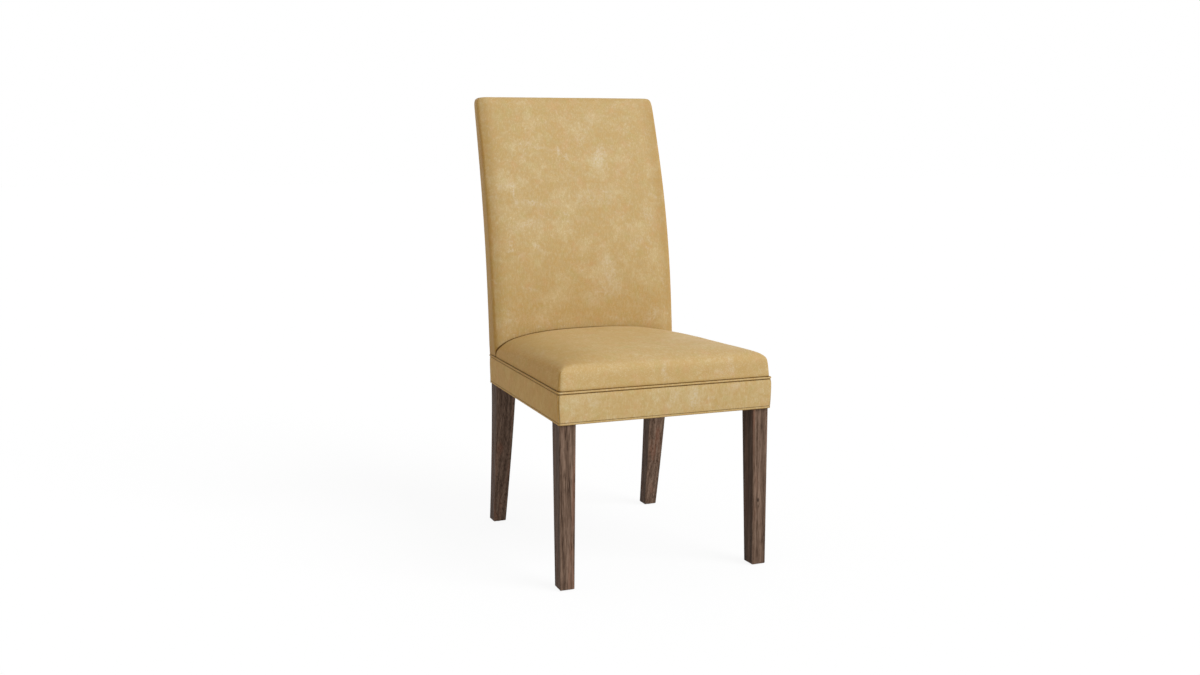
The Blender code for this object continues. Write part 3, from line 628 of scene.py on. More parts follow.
def cageMesh(name, segments, place, openEnds=()):
    # a block cut into segments along each axis, its points moved by place(i, j, k);
    # openEnds names whole sides that are left out, as (axis, -1 or 1)
    cage = bmesh.new()
    bmesh.ops.create_cube(cage, size=1.0)
    for axis, count in enumerate(segments):
        along = [edge for edge in cage.edges if abs(edge.verts[0].co[axis] - edge.verts[1].co[axis]) > 0.5]
        if count > 1:
            bmesh.ops.subdivide_edges(cage, edges=along, cuts=count - 1, use_grid_fill=True)
    for axis, end in openEnds:
        side = [face for face in cage.faces if all(round(vert.co[axis] * 2, 3) == end for vert in face.verts)]
        bmesh.ops.delete(cage, geom=side, context="FACES")
    for vert in cage.verts:
        steps = [round((vert.co[axis] + 0.5) * segments[axis]) for axis in range(3)]
        vert.co = place(*steps)
    if not openEnds:
        cage.normal_update()
        bmesh.ops.recalc_face_normals(cage, faces=cage.faces)
    mesh = bpy.data.meshes.new(name)
    cage.to_mesh(mesh)
    cage.free()
    return mesh


def gridMesh(name, rows, flip=False):
    # rows of points joined into one sheet
    mesh = bpy.data.meshes.new(name)
    count = len(rows[0])
    faces = []
    for row in range(len(rows) - 1):
        for step in range(count - 1):
            corner = row * count + step
            face = (corner, corner + 1, corner + 1 + count, corner + count)
            faces.append(face[::-1] if flip else face)
    mesh.from_pydata([point for line in rows for point in line], [], faces)
    return mesh


def newPiece(name, mesh):
    item = bpy.data.objects.new(name, mesh)
    scene.collection.objects.link(item)
    return item


def baked(item):
    graph = bpy.context.evaluated_depsgraph_get()
    return bpy.data.meshes.new_from_object(item.evaluated_get(graph))


def bakeIn(item):
    mesh = baked(item)
    item.modifiers.clear()
    item.data = mesh


def addSmoothing(item, levels):
    smooth = item.modifiers.new("smooth", "SUBSURF")
    smooth.levels = levels
    smooth.render_levels = levels
    smooth.boundary_smooth = "PRESERVE_CORNERS"


def addWall(item, thickness):
    wall = item.modifiers.new("wall", "SOLIDIFY")
    wall.thickness = thickness
    wall.offset = -1


# Cloth under pressure: held points stay, the rest may swell by up to the limit

def puff(item, settings, grip):
    start = [(vert.co.copy(), vert.normal.copy()) for vert in item.data.vertices]
    held = item.vertex_groups.new(name="held")
    for vert in item.data.vertices:
        weight = grip(vert.co)
        if weight > 0:
            held.add([vert.index], weight, "REPLACE")
    cloth = item.modifiers.new("cloth", "CLOTH")
    asked = {"quality": 5, "mass": settings["mass"], "tension_stiffness": settings["stiffness"],
             "compression_stiffness": settings["stiffness"], "bending_stiffness": settings["bending"],
             "use_pressure": True, "uniform_pressure_force": settings["pressure"], "vertex_group_mass": held.name}
    for key, value in asked.items():
        setattr(cloth.settings, key, value)
    cloth.settings.effector_weights.gravity = 0
    cloth.point_cache.frame_start = 1
    cloth.point_cache.frame_end = settings["frames"]
    for step in range(1, settings["frames"] + 1):
        scene.frame_set(step)
    bakeIn(item)
    scene.frame_set(1)
    item.vertex_groups.clear()
    # only the swelling counts: the pull of the cloth along itself would draw the corners in
    swells = [(vert.co - old).dot(outward) for vert, (old, outward) in zip(item.data.vertices, start)]
    print(item.name, "swelled by up to", round(max(swells) * 1000, 2), "mm before its limit")
    swells = [min(settings["limit"], max(-settings["hollow"], swell)) for swell in swells]
    ends = [tuple(edge.vertices) for edge in item.data.edges]
    for turn in range(settings["evening"]):
        sums, counts = swells[:], [1] * len(swells)
        for one, two in ends:
            sums[one] += swells[two]
            sums[two] += swells[one]
            counts[one] += 1
            counts[two] += 1
        swells = [total / count for total, count in zip(sums, counts)]
    for vert, (old, outward), swell in zip(item.data.vertices, start, swells):
        vert.co = old + outward * swell


def uneven(item, size, depth, seed, grip=None):
    # hand-made surfaces are never dead flat
    for vert in item.data.vertices:
        share = 1.0 if grip is None else 1.0 - grip(vert.co)
        wave = noise.noise(vert.co / size + Vector((seed, seed * 0.7, seed * 1.3)))
        vert.co += vert.normal * wave * depth * share


def markPiece(item, rule):
    # a rule gives two dark lines, sewn seams and painted shadow lines, as distance and strength, then how scuffed a
    # point is and how much painted shade it gets
    found = []
    for vert in item.data.vertices:
        level, upright, wear = rule(vert.co, vert.normal)
        # painted shade: sides, rear and undersides get a darker, more saturated colour by the way they face
        facingShade = max(ease(abs(vert.normal.x), 0.35, 0.85), ease(-vert.normal.z, 0.2, 0.8),
                   0.5 * ease(vert.normal.y, 0.3, 0.9))
        found.append(((*level, 0), (*upright, 0), (*wear, facingShade)))
    for name, marks in zip(("seamAndShadeLine", "seamUpright", "wearAndShade"), zip(*found)):
        stored = item.data.attributes.new(name, "FLOAT_VECTOR", "POINT")
        for place, mark in zip(stored.data, marks):
            place.vector = mark


def scuffAt(across, up, strokes):
    # strokes: middle, length, angle in degrees, width and strength of each pale mark
    found = 0.0
    for x, z, length, angle, width, strength in strokes:
        turn = math.radians(angle)
        dx, dz = across - x, up - z
        along = dx * math.cos(turn) + dz * math.sin(turn)
        off = -dx * math.sin(turn) + dz * math.cos(turn)
        past = max(0.0, abs(along) - length / 2)
        found = max(found, strength * (1 - ease(math.hypot(past, off), width * 0.3, width)))
    return found


def finishPiece(item, finish, body="root"):
    item.data.shade_smooth()
    item.data.materials.clear()
    item.data.materials.append(finish)
    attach(item, body)


# Seat cushion: crowned leather over foam, tucked in behind the piping. Its section goes from
# boxed at the front to low and rounded at the back. Pairs are inset from the rim and rise over it.
seatCushion = {
    "tuck": (0.0046, -0.0016),
    "frontWall": ((0.0014, 0.0003), (0.0018, 0.0050), (0.0030, 0.0195), (0.0048, 0.0345)),
    "frontRings": ((0.0086, 0.0436), (0.0185, 0.0512), (0.0345, 0.0566), (0.105, 0.0662)),
    "rearWall": ((0.0014, 0.0003), (0.0012, 0.0040), (0.0013, 0.0095), (0.0034, 0.0185)),
    "rearRings": ((0.0092, 0.0280), (0.0200, 0.0372), (0.0390, 0.0468), (0.105, 0.0605)),
    "middleRises": (0.0700, 0.0643),
    "rowShares": (0.0, 0.0, 0.02, 0.12, 0.33, 0.62, 0.95, 1.0, 1.0),
    "middleRow": 0.110,
    "rearRow": 0.040,
    "rearEdge": 0.0055,
    "rearDip": 0.0072,
    "wrap": (0.45, 1.0, 1.0),
    "drawIn": 0.0005,
    "smoothing": 3,
    "cloth": {"frames": 20, "pressure": 4.0, "mass": 0.4, "stiffness": 18.0, "bending": 2.0, "limit": 0.0018,
              "hollow": 0.0002, "evening": 14},
    "seamBack": 0.0103,
    "junctionStep": 0.012,
    "scuffs": (
        (-0.086, -0.040, 0.035, 150, 0.008, 0.8),
        (-0.060, -0.020, 0.025, 20, 0.009, 0.6),
        (-0.210, -0.132, 0.030, 60, 0.008, 0.7),
        (-0.150, -0.090, 0.040, 15, 0.016, 0.35),
        (0.090, -0.150, 0.050, 35, 0.020, 0.35),
        (0.040, 0.060, 0.060, 10, 0.022, 0.30),
    ),
    "topWear": 0.14,
    "leftShade": (0.8, 0.030, 0.150),
    "frontScuffs": ((-0.006, 0.458, 0.030, 80, 0.007, 0.7), (0.150, 0.450, 0.030, 100, 0.010, 0.4)),
}


def makeSeatCushion():
    values = seatCushion
    draw = values["drawIn"]
    wallCount = len(values["frontWall"]) + 1
    ringCount = len(values["frontRings"])

    def mixed(front, rear, share):
        return blend(front[0], rear[0], share), blend(front[1], rear[1], share)

    def place(i, j, k):
        across = min(i, 2 * ringCount - i)
        along = min(j, ringCount)
        share = values["rowShares"][j]
        rings = [mixed(*pair, share) for pair in zip(values["frontRings"], values["rearRings"])]
        rises = [rise for inset, rise in rings] + [blend(*values["middleRises"], share)]
        if k == 0:
            inset, rise = values["tuck"]
        elif k < wallCount:
            inset, rise = mixed(values["frontWall"][k - 1], values["rearWall"][k - 1], share)
        else:
            inset, rise = rings[0][0], rises[min(across, along)] - draw
            rise -= values["rearDip"] if j == ringCount + 4 else 0.0
        if j == 0:
            inset = (values["tuck"], *values["frontWall"], values["frontRings"][0])[k][0]
        z = cushionRim + rise
        inset += draw
        rear = backFrontY(0, z) - chair["softGap"] - draw
        y = (frontY + inset, *[frontY + ring[0] for ring in values["frontRings"][1:]], (frontY + rear) / 2,
             rear - values["middleRow"], rear - values["rearRow"], rear - values["rearEdge"], rear)[j]
        half = seatHalf(y)
        x = (half - inset, *[half - ring[0] for ring in rings[1:]], 0)[across]
        if j > ringCount + 1:
            y += rolled(coverHalf(z) - x) * values["wrap"][j - ringCount - 2]
        return Vector((-x if i < ringCount else x, y, z))

    cage = newPiece("seatCushion", cageMesh("seatCushion", (2 * ringCount, ringCount + 4, wallCount), place))
    addSmoothing(cage, values["smoothing"])
    bakeIn(cage)

    def grip(point):
        low = 1 - ease(point.z, cushionRim + 0.001, cushionRim + 0.012)
        behind = coverY(point.x, point.z)
        return max(low, ease(point.y, behind - 0.030, behind - 0.006))

    puff(cage, values["cloth"], grip)
    uneven(cage, 0.11, 0.0012, 3.0, grip)
    uneven(cage, 0.035, 0.0004, 8.0, grip)
    addSmoothing(cage, 1)
    bakeIn(cage)

    # where the cushion meets the back: its highest points there, smoothed along the line
    step = values["junctionStep"]
    top = {}
    for vert in cage.data.vertices:
        if vert.co.y > coverY(vert.co.x, vert.co.z) - 0.010:
            place = round(vert.co.x / step)
            top[place] = max(top.get(place, 0.0), vert.co.z)
    for turn in range(3):
        top = {place: (top.get(place - 1, high) + 2 * high + top.get(place + 1, high)) / 4
               for place, high in top.items()}
    values["junction"] = top

    def marks(point, normal):
        away = point.y - (frontY + values["seamBack"])
        strength = ease(abs(point.x), seatHalf(point.y) - 0.016, seatHalf(point.y) - 0.011)
        strength *= 0.4 * (1 - ease(point.z, cushionRim + 0.036, cushionRim + 0.050))
        scuff = scuffAt(point.x, point.y, values["scuffs"]) * ease(normal.z, 0.3, 0.7)
        scuff = max(scuff, scuffAt(point.x, point.z, values["frontScuffs"]) * ease(-normal.y, 0.3, 0.7))
        scuff = max(scuff, values["topWear"] * ease(normal.z, 0.5, 0.9))
        # painted shade near the piping and where the cushion meets the back
        low = 1 - ease(point.z, cushionRim, cushionRim + 0.010)
        behind = coverY(point.x, point.z) - chair["softGap"] - point.y
        rear = 1 - ease(behind, 0.002, 0.030)
        # painted shade: the left of the seat, where it rolls over and turns from the lamp, is darker
        fromLeft = point.x + seatHalf(point.y)
        depth, near, far = values["leftShade"]
        left = depth * (1 - ease(fromLeft, near, far)) * (1 - ease(-normal.y, 0.2, 0.6)) * ease(normal.z, 0.60, 0.95)
        # painted shadow lines: along the crease against the back, and else just above the piping
        line = (max(0.0, behind * 0.45), 1.0) if behind < 0.006 else (max(0.0, point.z - cushionRim) * 0.7, 0.5)
        return line, (away, strength), (scuff, max(low * 0.6, rear * 0.6, left))

    markPiece(cage, marks)
    finishPiece(cage, seatLeather)
    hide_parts("seat_cover", "seat_foam")
    print("seat cushion made", len(cage.data.polygons))


# Inside back: leather pulled over the front, sides and top of the back
insideBack = {
    "middleShare": 0.5,
    "lowRows": (0.0, 0.024, 0.048, 0.072),
    "rowCount": 6,
    "columns": (0.0, 0.0030, 0.0100, 0.0215, 0.0350),
    "drawIn": 0.0003,
    "smoothing": 3,
    "cloth": {"frames": 20, "pressure": 3.0, "mass": 0.4, "stiffness": 20.0, "bending": 2.0, "limit": 0.0020,
              "hollow": 0.0002, "evening": 14},
    "lowShade": 0.55,
    "crease": (0.0030, 0.0064),
    "sideShade": (1.2, 0.052),
    "scuffs": (
        (-0.167, 0.815, 0.012, 90, 0.010, 0.95),
        (-0.163, 0.792, 0.040, 105, 0.006, 0.7),
        (-0.185, 0.818, 0.030, 0, 0.007, 0.5),
        (-0.115, 0.778, 0.055, 170, 0.009, 0.6),
        (-0.128, 0.735, 0.035, 20, 0.010, 0.6),
        (-0.140, 0.725, 0.080, 5, 0.012, 0.35),
        (-0.113, 0.674, 0.030, 150, 0.007, 0.7),
        (-0.070, 0.906, 0.060, 170, 0.005, 0.55),
        (-0.044, 0.896, 0.022, 80, 0.005, 0.75),
        (0.061, 0.886, 0.025, 60, 0.024, 0.75),
        (0.033, 0.950, 0.060, 60, 0.022, 0.35),
        (0.040, 0.792, 0.070, 10, 0.030, 0.40),
        (0.189, 0.794, 0.032, 165, 0.005, 0.7),
        (0.180, 0.745, 0.030, 100, 0.022, 0.45),
        (0.066, 0.610, 0.060, 110, 0.026, 0.55),
        (0.040, 0.560, 0.060, 20, 0.026, 0.45),
        (0.135, 0.679, 0.030, 30, 0.016, 0.35),
        (0.171, 0.502, 0.030, 40, 0.018, 0.6),
        (-0.145, 0.580, 0.032, 160, 0.006, 0.6),
        (-0.120, 0.498, 0.026, 60, 0.006, 0.4),
    ),
}


def makeInsideBack():
    values = insideBack
    low = cushionRim + fitGap
    reach = chair["backCornerReach"]
    draw = values["drawIn"]
    top = chair["height"] - draw
    edge = chair["backEdgeReach"]
    heights = [low + step for step in values["lowRows"]]
    heights += spread(heights[-1], top - reach, values["rowCount"])[1:] + [top - edge, top]
    last = len(heights) - 1

    def place(i, j, k):
        z = heights[k]
        half = coverHalf(z, j, i > middle)
        x = ([half - inset for inset in values["columns"]] + [half * values["middleShare"], 0])[min(i, 2 * middle - i)]
        roll = max(rolled(half - x), chair["backTopRoll"] if k == last else 0.0)
        x, z = cornered(x, z, half, top)
        if k == last:
            z += chair["topTilt"] * (x / half if i > middle else -x / half)
        front = backFrontY(x, z) + roll + draw
        rear = rearY(z) - chair["leather"] - chair["softGap"]
        return Vector((-x if i < middle else x, (front, front + edge, rear)[j], z))

    middle = len(values["columns"]) + 1
    segments = (2 * middle, 2, last)
    cage = newPiece("insideBack", cageMesh("insideBack", segments, place, openEnds=((2, -1), (1, 1))))
    addSmoothing(cage, values["smoothing"])
    bakeIn(cage)

    def grip(point):
        bottom = 1 - ease(point.z, cushionRim + 0.004, cushionRim + 0.060)
        depth = rearY(point.z) - point.y
        sides = ease(abs(point.x), backHalf(point.z) - 0.005, backHalf(point.z))
        return max(bottom, sides, 1 - ease(depth, 0.006, 0.022))

    puff(cage, values["cloth"], grip)
    uneven(cage, 0.16, 0.0011, 5.0, grip)
    uneven(cage, 0.045, 0.0003, 9.0, grip)

    addSmoothing(cage, 1)
    addWall(cage, chair["leather"])
    bakeIn(cage)

    junction = seatCushion["junction"]
    seat = bpy.data.objects["seatCushion"].data
    seatSurface = BVHTree.FromPolygons([vert.co for vert in seat.vertices], [face.vertices for face in seat.polygons])

    def pressedAt(x):
        place = x / seatCushion["junctionStep"]
        low = math.floor(place)
        return blend(junction.get(low, cushionRim), junction.get(low + 1, cushionRim), place - low)

    def marks(point, normal):
        side = abs(point.x)
        pressed = point.z - pressedAt(point.x) - 0.0006
        gap = seatSurface.find_nearest(point)[3]
        centreX = backHalf(point.z) - chair["backCornerRound"]
        centreZ = chair["height"] - chair["backCornerRound"]
        away = ((point.z - centreZ) - (side - centreX)) / math.sqrt(2)
        depth = point.y - backFrontY(point.x, point.z)
        strength = ease(point.z, centreZ - 0.003, centreZ + 0.006) * ease(side, centreX - 0.003, centreX + 0.006)
        strength *= ease(depth, 0.004, 0.016)
        scuff = scuffAt(point.x, point.z, values["scuffs"]) * ease(-normal.y, 0.3, 0.7)
        # painted shade towards the sides, along the top edge, just above the seat and over the lower part
        shade, reach = values["sideShade"]
        rim = shade * max(0.0, 1 - max(0.0, coverHalf(point.z) - side) / reach) ** 1.5
        rim *= (1 - ease(depth, 0.03, 0.05)) * (1 - 0.8 * ease(abs(normal.x), 0.25, 0.70))
        rim = max(rim, ease(point.z, chair["height"] - 0.02, chair["height"] - 0.002) * 0.3)
        rim = max(rim, (1 - ease(pressed, 0.0, 0.014)) * 0.7, values["lowShade"] * (1 - ease(pressed, 0.0, 0.24)))
        # painted shadow line in the crease where it meets the seat
        near, far = values["crease"]
        creaseShadow = max(0.0, gap - near) * seamEnd / (far - near)
        # painted shadow: a dark line along its lower edge, where it meets the piping
        pipingShadow = max(0.0, point.z - cushionRim) * 0.6
        line = (creaseShadow, 1.0) if creaseShadow < pipingShadow else (pipingShadow, 0.85)
        return line, (away, strength), (scuff, rim)

    markPiece(cage, marks)
    finishPiece(cage, backLeather)
    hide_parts("inside_back_cover")
    print("inside back made", len(cage.data.polygons))


# Outside back: one leather panel from the top of the back to the foot of the frame
outsidePanel = {
    "edgeInset": 0.0004,
    "turnDepth": 0.0022,
    "bulge": 0.0012,
    "columns": 25,
    "rows": 45,
    "cut": (0.476, 0.706),
}


def makeOutsidePanel():
    values = outsidePanel
    low, high = chair["frameBottom"], chair["height"] - chair["leather"]
    edge = values["edgeInset"]
    levels = [low + 0.0002, low + 0.0010, low + 0.0035] + spread(low + 0.010, high - 0.018, values["rows"])
    levels += [high - 0.011, high - 0.0055, high - 0.0022, high - 0.0008]
    rows = []
    for z in levels:
        # the corners at the top are rounded as those of the back are
        radius = chair["backCornerRound"]
        drop = max(0.0, z - (high - radius))
        cut = radius - math.sqrt(max(0.0, radius ** 2 - drop ** 2))
        half = backHalf(z) - edge - cut - topPinch(z)
        shares = [-1, -1 + 0.0016 / half, -1 + 0.005 / half]
        shares += spread(-1 + 0.012 / half, 1 - 0.012 / half, values["columns"])
        shares += [1 - 0.005 / half, 1 - 0.0016 / half, 1]
        line = []
        for share in shares:
            x = share * half
            rim = min(half - abs(x), z - low, (high - z) + 0.0004)
            turned = values["turnDepth"] * (1 - ease(rim, 0.0, 0.0024)) * (0.6 if z - low < 0.003 else 1.0)
            swell = values["bulge"] * ease(rim, 0.0, 0.060)
            pull = 0.00035 * noise.noise(Vector((x / 0.02, z / 0.02, 4.0))) * (1 - ease(rim, 0.004, 0.05))
            line.append(Vector((x, rearY(z) - turned + swell + pull, z)))
        rows.append(line)
    panel = newPiece("outsidePanel", gridMesh("outsidePanel", rows, flip=True))
    uneven(panel, 0.13, 0.0012, 2.0)
    addSmoothing(panel, 1)
    addWall(panel, chair["leather"])
    bakeIn(panel)

    def marks(point, normal):
        # painted shade, darker towards its edges where they turn in
        rim = min(backHalf(point.z) - edge - topPinch(point.z) - abs(point.x), high - point.z)
        return (1.0, 0.0), (1.0, 0.0), (0.0, 0.7 * (1 - ease(rim, 0.001, 0.02)))

    markPiece(panel, marks)
    finishPiece(panel, backLeather)
    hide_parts("outside_back_panel")
    print("outside back made")


# Border band: a plain strip with a turned hem and lapped corner seams
borderBand = {
    "bulge": 0.0014,
    "topDraw": 0.0005,
    "hemHeight": 0.005,
    "lapBack": 0.0103,
    "lapRise": 0.0005,
    "lipReach": 0.017,
    "thickness": 0.0012,
    "scuffs": (
        (-0.185, 0.408, 0.018, 70, 0.005, 0.7),
        (-0.170, 0.400, 0.022, 110, 0.006, 0.5),
        (0.061, 0.392, 0.040, 85, 0.010, 0.75),
        (0.010, 0.385, 0.030, 60, 0.012, 0.35),
        (0.150, 0.405, 0.040, 10, 0.012, 0.35),
    ),
    "cut": (0.098, 1.560),
}


def makeBorderBand():
    values = borderBand
    low = chair["frameBottom"]
    hem = low + values["hemHeight"]
    bulge, wall = values["bulge"], values["thickness"]
    levels = (
        (low + wall + 0.0001, values["lipReach"]),
        (low + wall + 0.0001, 0.006),
        (low + 0.0003, bulge + 0.0026),
        (low, bulge + 0.0010),
        (low + 0.0010, bulge + 0.0001),
        (low + 0.0026, bulge - 0.0001),
        (hem - 0.0006, bulge + 0.0001),
        (hem, bulge + 0.0005),
        (hem + 0.0006, bulge + 0.0001),
        (hem + 0.0030, bulge - 0.0002),
        (blend(low, bandTop, 0.30), bulge * 0.55),
        (blend(low, bandTop, 0.45), bulge / 3),
        (blend(low, bandTop, 0.62), bulge * 0.1),
        (blend(low, bandTop, 0.78), 0.0),
        (blend(low, bandTop, 0.90), 0.0002),
        (bandTop - 0.0006, values["topDraw"] + 0.0002),
        (bandTop - 0.0002, values["topDraw"] + 0.0014),
        (bandTop - 0.0006, values["topDraw"] + 0.0036),
    )
    lap = frontY + values["lapBack"]
    extra = (lap - 0.0016, lap - 0.0005, lap + 0.0003, lap + 0.0012)
    rows = []
    for z, inset in levels:
        radius = max(0.0006, chair["borderCorner"] - inset)
        line = []
        for x, y in borderPath(inset, radius, borderEnd, extra):
            rise = values["lapRise"] * (1 - ease(y, lap - 0.0005, lap + 0.0003)) if z < bandTop - 0.001 else 0.0
            side = math.copysign(1.0, x) if abs(x) > seatHalf(frontY) - inset - radius else 0.0
            front = rise if y < frontY + inset + radius * 0.5 else 0.0
            ripple = 0.00030 * noise.noise(Vector((x / 0.018, y / 0.018, z / 0.02)))
            ripple += 0.0006 * noise.noise(Vector((x / 0.07, y / 0.07, z / 0.05 + 3.0)))
            ripple *= ease(z, hem, hem + 0.012) * (1 - ease(z, bandTop - 0.010, bandTop))
            line.append(Vector((x + side * (rise + ripple), y - front - (ripple if side == 0 else 0.0), z)))
        rows.append(line)
    band = newPiece("borderBand", gridMesh("borderBand", rows, flip=True))
    addSmoothing(band, 1)
    addWall(band, wall)
    bakeIn(band)

    def marks(point, normal):
        nearSide = ease(abs(point.x), seatHalf(point.y) - 0.006, seatHalf(point.y) - 0.003)
        lapAway = point.y - lap
        cornerAway = point.y - (frontY + 0.0012)
        away = lapAway if abs(lapAway) < abs(cornerAway) else cornerAway
        strength = nearSide * (1.0 if abs(lapAway) < abs(cornerAway) else 0.55)
        scuff = scuffAt(point.x, point.z, values["scuffs"]) * ease(-normal.y, 0.3, 0.7)
        # painted shade along its bottom edge and along its top under the piping
        rim = max(1 - ease(point.z, low, low + 0.006), ease(point.z, bandTop - 0.005, bandTop))
        # the hem's sewn line, and above it a painted shadow line under the piping
        line = (point.z - hem, 0.8) if point.z < hem + 0.02 else (max(0.0, bandTop - point.z) * 0.6, 0.7)
        return line, (away, strength), (scuff, rim * 0.5)

    markPiece(band, marks)
    finishPiece(band, bandLeather)
    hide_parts("border_band")
    print("border band made")


# Welt and stitches follow paths, so Geometry Nodes make them

def newRun(name, lines):
    run = bpy.data.curves.new(name, "CURVE")
    run.dimensions = "3D"
    for line in lines:
        spline = run.splines.new("POLY")
        spline.points.add(len(line) - 1)
        for point, place in zip(spline.points, line):
            point.co = (*place, 1)
    return newPiece(name, run)


def openTree(name, inputs):
    tree = bpy.data.node_groups.new(name, "GeometryNodeTree")
    sockets = {}
    for label, kind in (("Geometry", "Geometry"), *inputs):
        socket = tree.interface.new_socket(name=label, in_out="INPUT", socket_type="NodeSocket" + kind)
        sockets[label] = socket.identifier
    tree.interface.new_socket(name="Geometry", in_out="OUTPUT", socket_type="NodeSocketGeometry")
    return tree, sockets, tree.nodes.new("NodeGroupInput").outputs


def closeTree(tree, shape, finish):
    dressed = geo(tree, "SetMaterial", {"Geometry": geo(tree, "RealizeInstances", {"Geometry": shape}),
                                        "Material": finish})
    tree.links.new(dressed, tree.nodes.new("NodeGroupOutput").inputs["Geometry"])


def makeWeltTree():
    tree, sockets, given = openTree("piping along a path", (
        ("Radius", "Float"), ("Unevenness", "Float"), ("Step", "Float"), ("Seed", "Float"), ("Leather", "Material")))
    path = geo(tree, "ResampleCurve", {"Curve": given["Geometry"], "Length": given["Step"]}, mode="LENGTH")
    wobble = put(tree, "TexNoise", {"Vector": geo(tree, "InputPosition"), "W": given["Seed"], "Scale": 55.0,
                                    "Detail": 2.0}, noise_dimensions="4D").outputs["Fac"]
    size = plus(tree, times(tree, calc(tree, "SUBTRACT", wobble, 0.5), given["Unevenness"]), 1.0)
    ring = geo(tree, "CurvePrimitiveCircle", {"Resolution": 14, "Radius": given["Radius"]})
    tube = geo(tree, "CurveToMesh", {"Curve": path, "Profile Curve": ring, "Scale": size, "Fill Caps": True})
    closeTree(tree, tube, given["Leather"])
    return tree, sockets


def makeStitchTree():
    tree, sockets, given = openTree("stitches along a path", (
        ("Pitch", "Float"), ("Size", "Vector"), ("Jitter", "Float"), ("Seed", "Int"), ("Square", "Bool"),
        ("Thread", "Material")))
    points = lay(tree, "GeometryNodeCurveToPoints", {"Curve": given["Geometry"], "Length": given["Pitch"]},
                 mode="LENGTH").outputs
    turn = lay(tree, "FunctionNodeAlignRotationToVector", {"Vector": points["Tangent"]}, axis="X").outputs[0]
    low, high = (put(tree, "CombineXYZ", {2: jitter}).outputs[0]
                 for jitter in (times(tree, given["Jitter"], -1.0), given["Jitter"]))
    chance = lay(tree, "FunctionNodeRandomValue", {"Min": low, "Max": high, "Seed": given["Seed"]},
                 data_type="FLOAT_VECTOR").outputs[0]
    tilt = lay(tree, "FunctionNodeEulerToRotation", {0: chance}).outputs[0]
    turned = lay(tree, "FunctionNodeRotateRotation", {"Rotation": turn, "Rotate By": tilt},
                 rotation_space="LOCAL").outputs[0]
    bead = geo(tree, "MeshUVSphere", {"Segments": 6, "Rings": 5, "Radius": 0.5})
    bar = geo(tree, "MeshCube", {"Size": (1.0, 1.0, 1.0)})
    shape = geo(tree, "Switch", {"Switch": given["Square"], "False": bead, "True": bar}, input_type="GEOMETRY")
    laid = geo(tree, "InstanceOnPoints", {"Points": points["Points"], "Instance": shape, "Rotation": turned,
                                          "Scale": given["Size"]})
    closeTree(tree, laid, given["Thread"])
    return tree, sockets


def grownPiece(name, run, tree, sockets, values):
    grow = run.modifiers.new("grow", "NODES")
    grow.node_group = tree
    for label, value in values.items():
        grow[sockets[label]] = value
    mesh = baked(run)
    bpy.data.objects.remove(run)
    return newPiece(name, mesh)


threadFinish = speckFinish("sewing thread", (150, 118, 70), (112, 84, 46), 2600.0, 0.5, bump=(0.0001, 0.6))
stapleFinish = speckFinish("staple wire", (176, 176, 172), (140, 138, 130), 1500.0, 0.3, bump=(0.0001, 0.3),
                           plain=metal)

welt = {"unevenness": 0.10, "step": 0.0022}


def makeWelt(tree, sockets):
    inset = chair["weltDiameter"] / 2 - chair["weltProud"]
    path = borderPath(inset, chair["borderCorner"] - inset, borderEnd)
    run = newRun("weltRun", [[(x, y, weltHeight) for x, y in path]])
    piping = grownPiece("welt", run, tree, sockets, {
        "Radius": chair["weltDiameter"] / 2, "Unevenness": welt["unevenness"], "Step": welt["step"],
        "Seed": 4.0, "Leather": weltLeather})

    def marks(point, normal):
        # painted shade at its top and bottom, where it meets the cushion and the band
        contactShade = ease(abs(normal.z), 0.45, 0.95)
        return (0.0, contactShade * 0.3), (1.0, 0.0), (0.0, 0.15 + 0.4 * contactShade)

    markPiece(piping, marks)
    finishPiece(piping, weltLeather)
    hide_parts("seat_welt")
    print("welt made")


stitches = {"pitch": 0.0042, "length": 0.0031, "thread": 0.00055, "hemRise": 0.005, "lapSide": 0.0014}


def makeStitches(tree, sockets):
    hem = chair["frameBottom"] + stitches["hemRise"]
    inset = borderBand["bulge"] + 0.0001
    path = borderPath(inset, chair["borderCorner"] - inset, seatRearY - 0.004)
    lines = [[(x, y, hem) for x, y in path]]
    lapY = frontY + borderBand["lapBack"] - stitches["lapSide"]
    for side in (-1, 1):
        rise = seatHalf(lapY) + borderBand["lapRise"] - 0.0006
        lines.append([(side * (rise - blend(0.0008, 0.0, share)), lapY, blend(hem + 0.002, bandTop - 0.002, share))
                      for share in spread(0, 1, 6)])
    run = newRun("stitchRun", lines)
    thread = grownPiece("borderStitches", run, tree, sockets, {
        "Pitch": stitches["pitch"], "Size": (stitches["length"], stitches["thread"], stitches["thread"]),
        "Jitter": 0.03, "Seed": 7, "Square": False, "Thread": threadFinish})
    finishPiece(thread, threadFinish)
    print("stitches made", len(thread.data.polygons))


# Dust cover: black lining stapled under the rails, sagging a little
dustCover = {
    "sag": 0.0030,
    "thickness": 0.0005,
    "legGap": 0.0012,
    "edgeInset": 0.0090,
    "staplePitch": 0.030,
    "staple": (0.0095, 0.0011, 0.0007),
    "stapleMargin": 0.007,
    "stapleDrop": 0.0009,
    "cut": (0.500, 0.530),
}


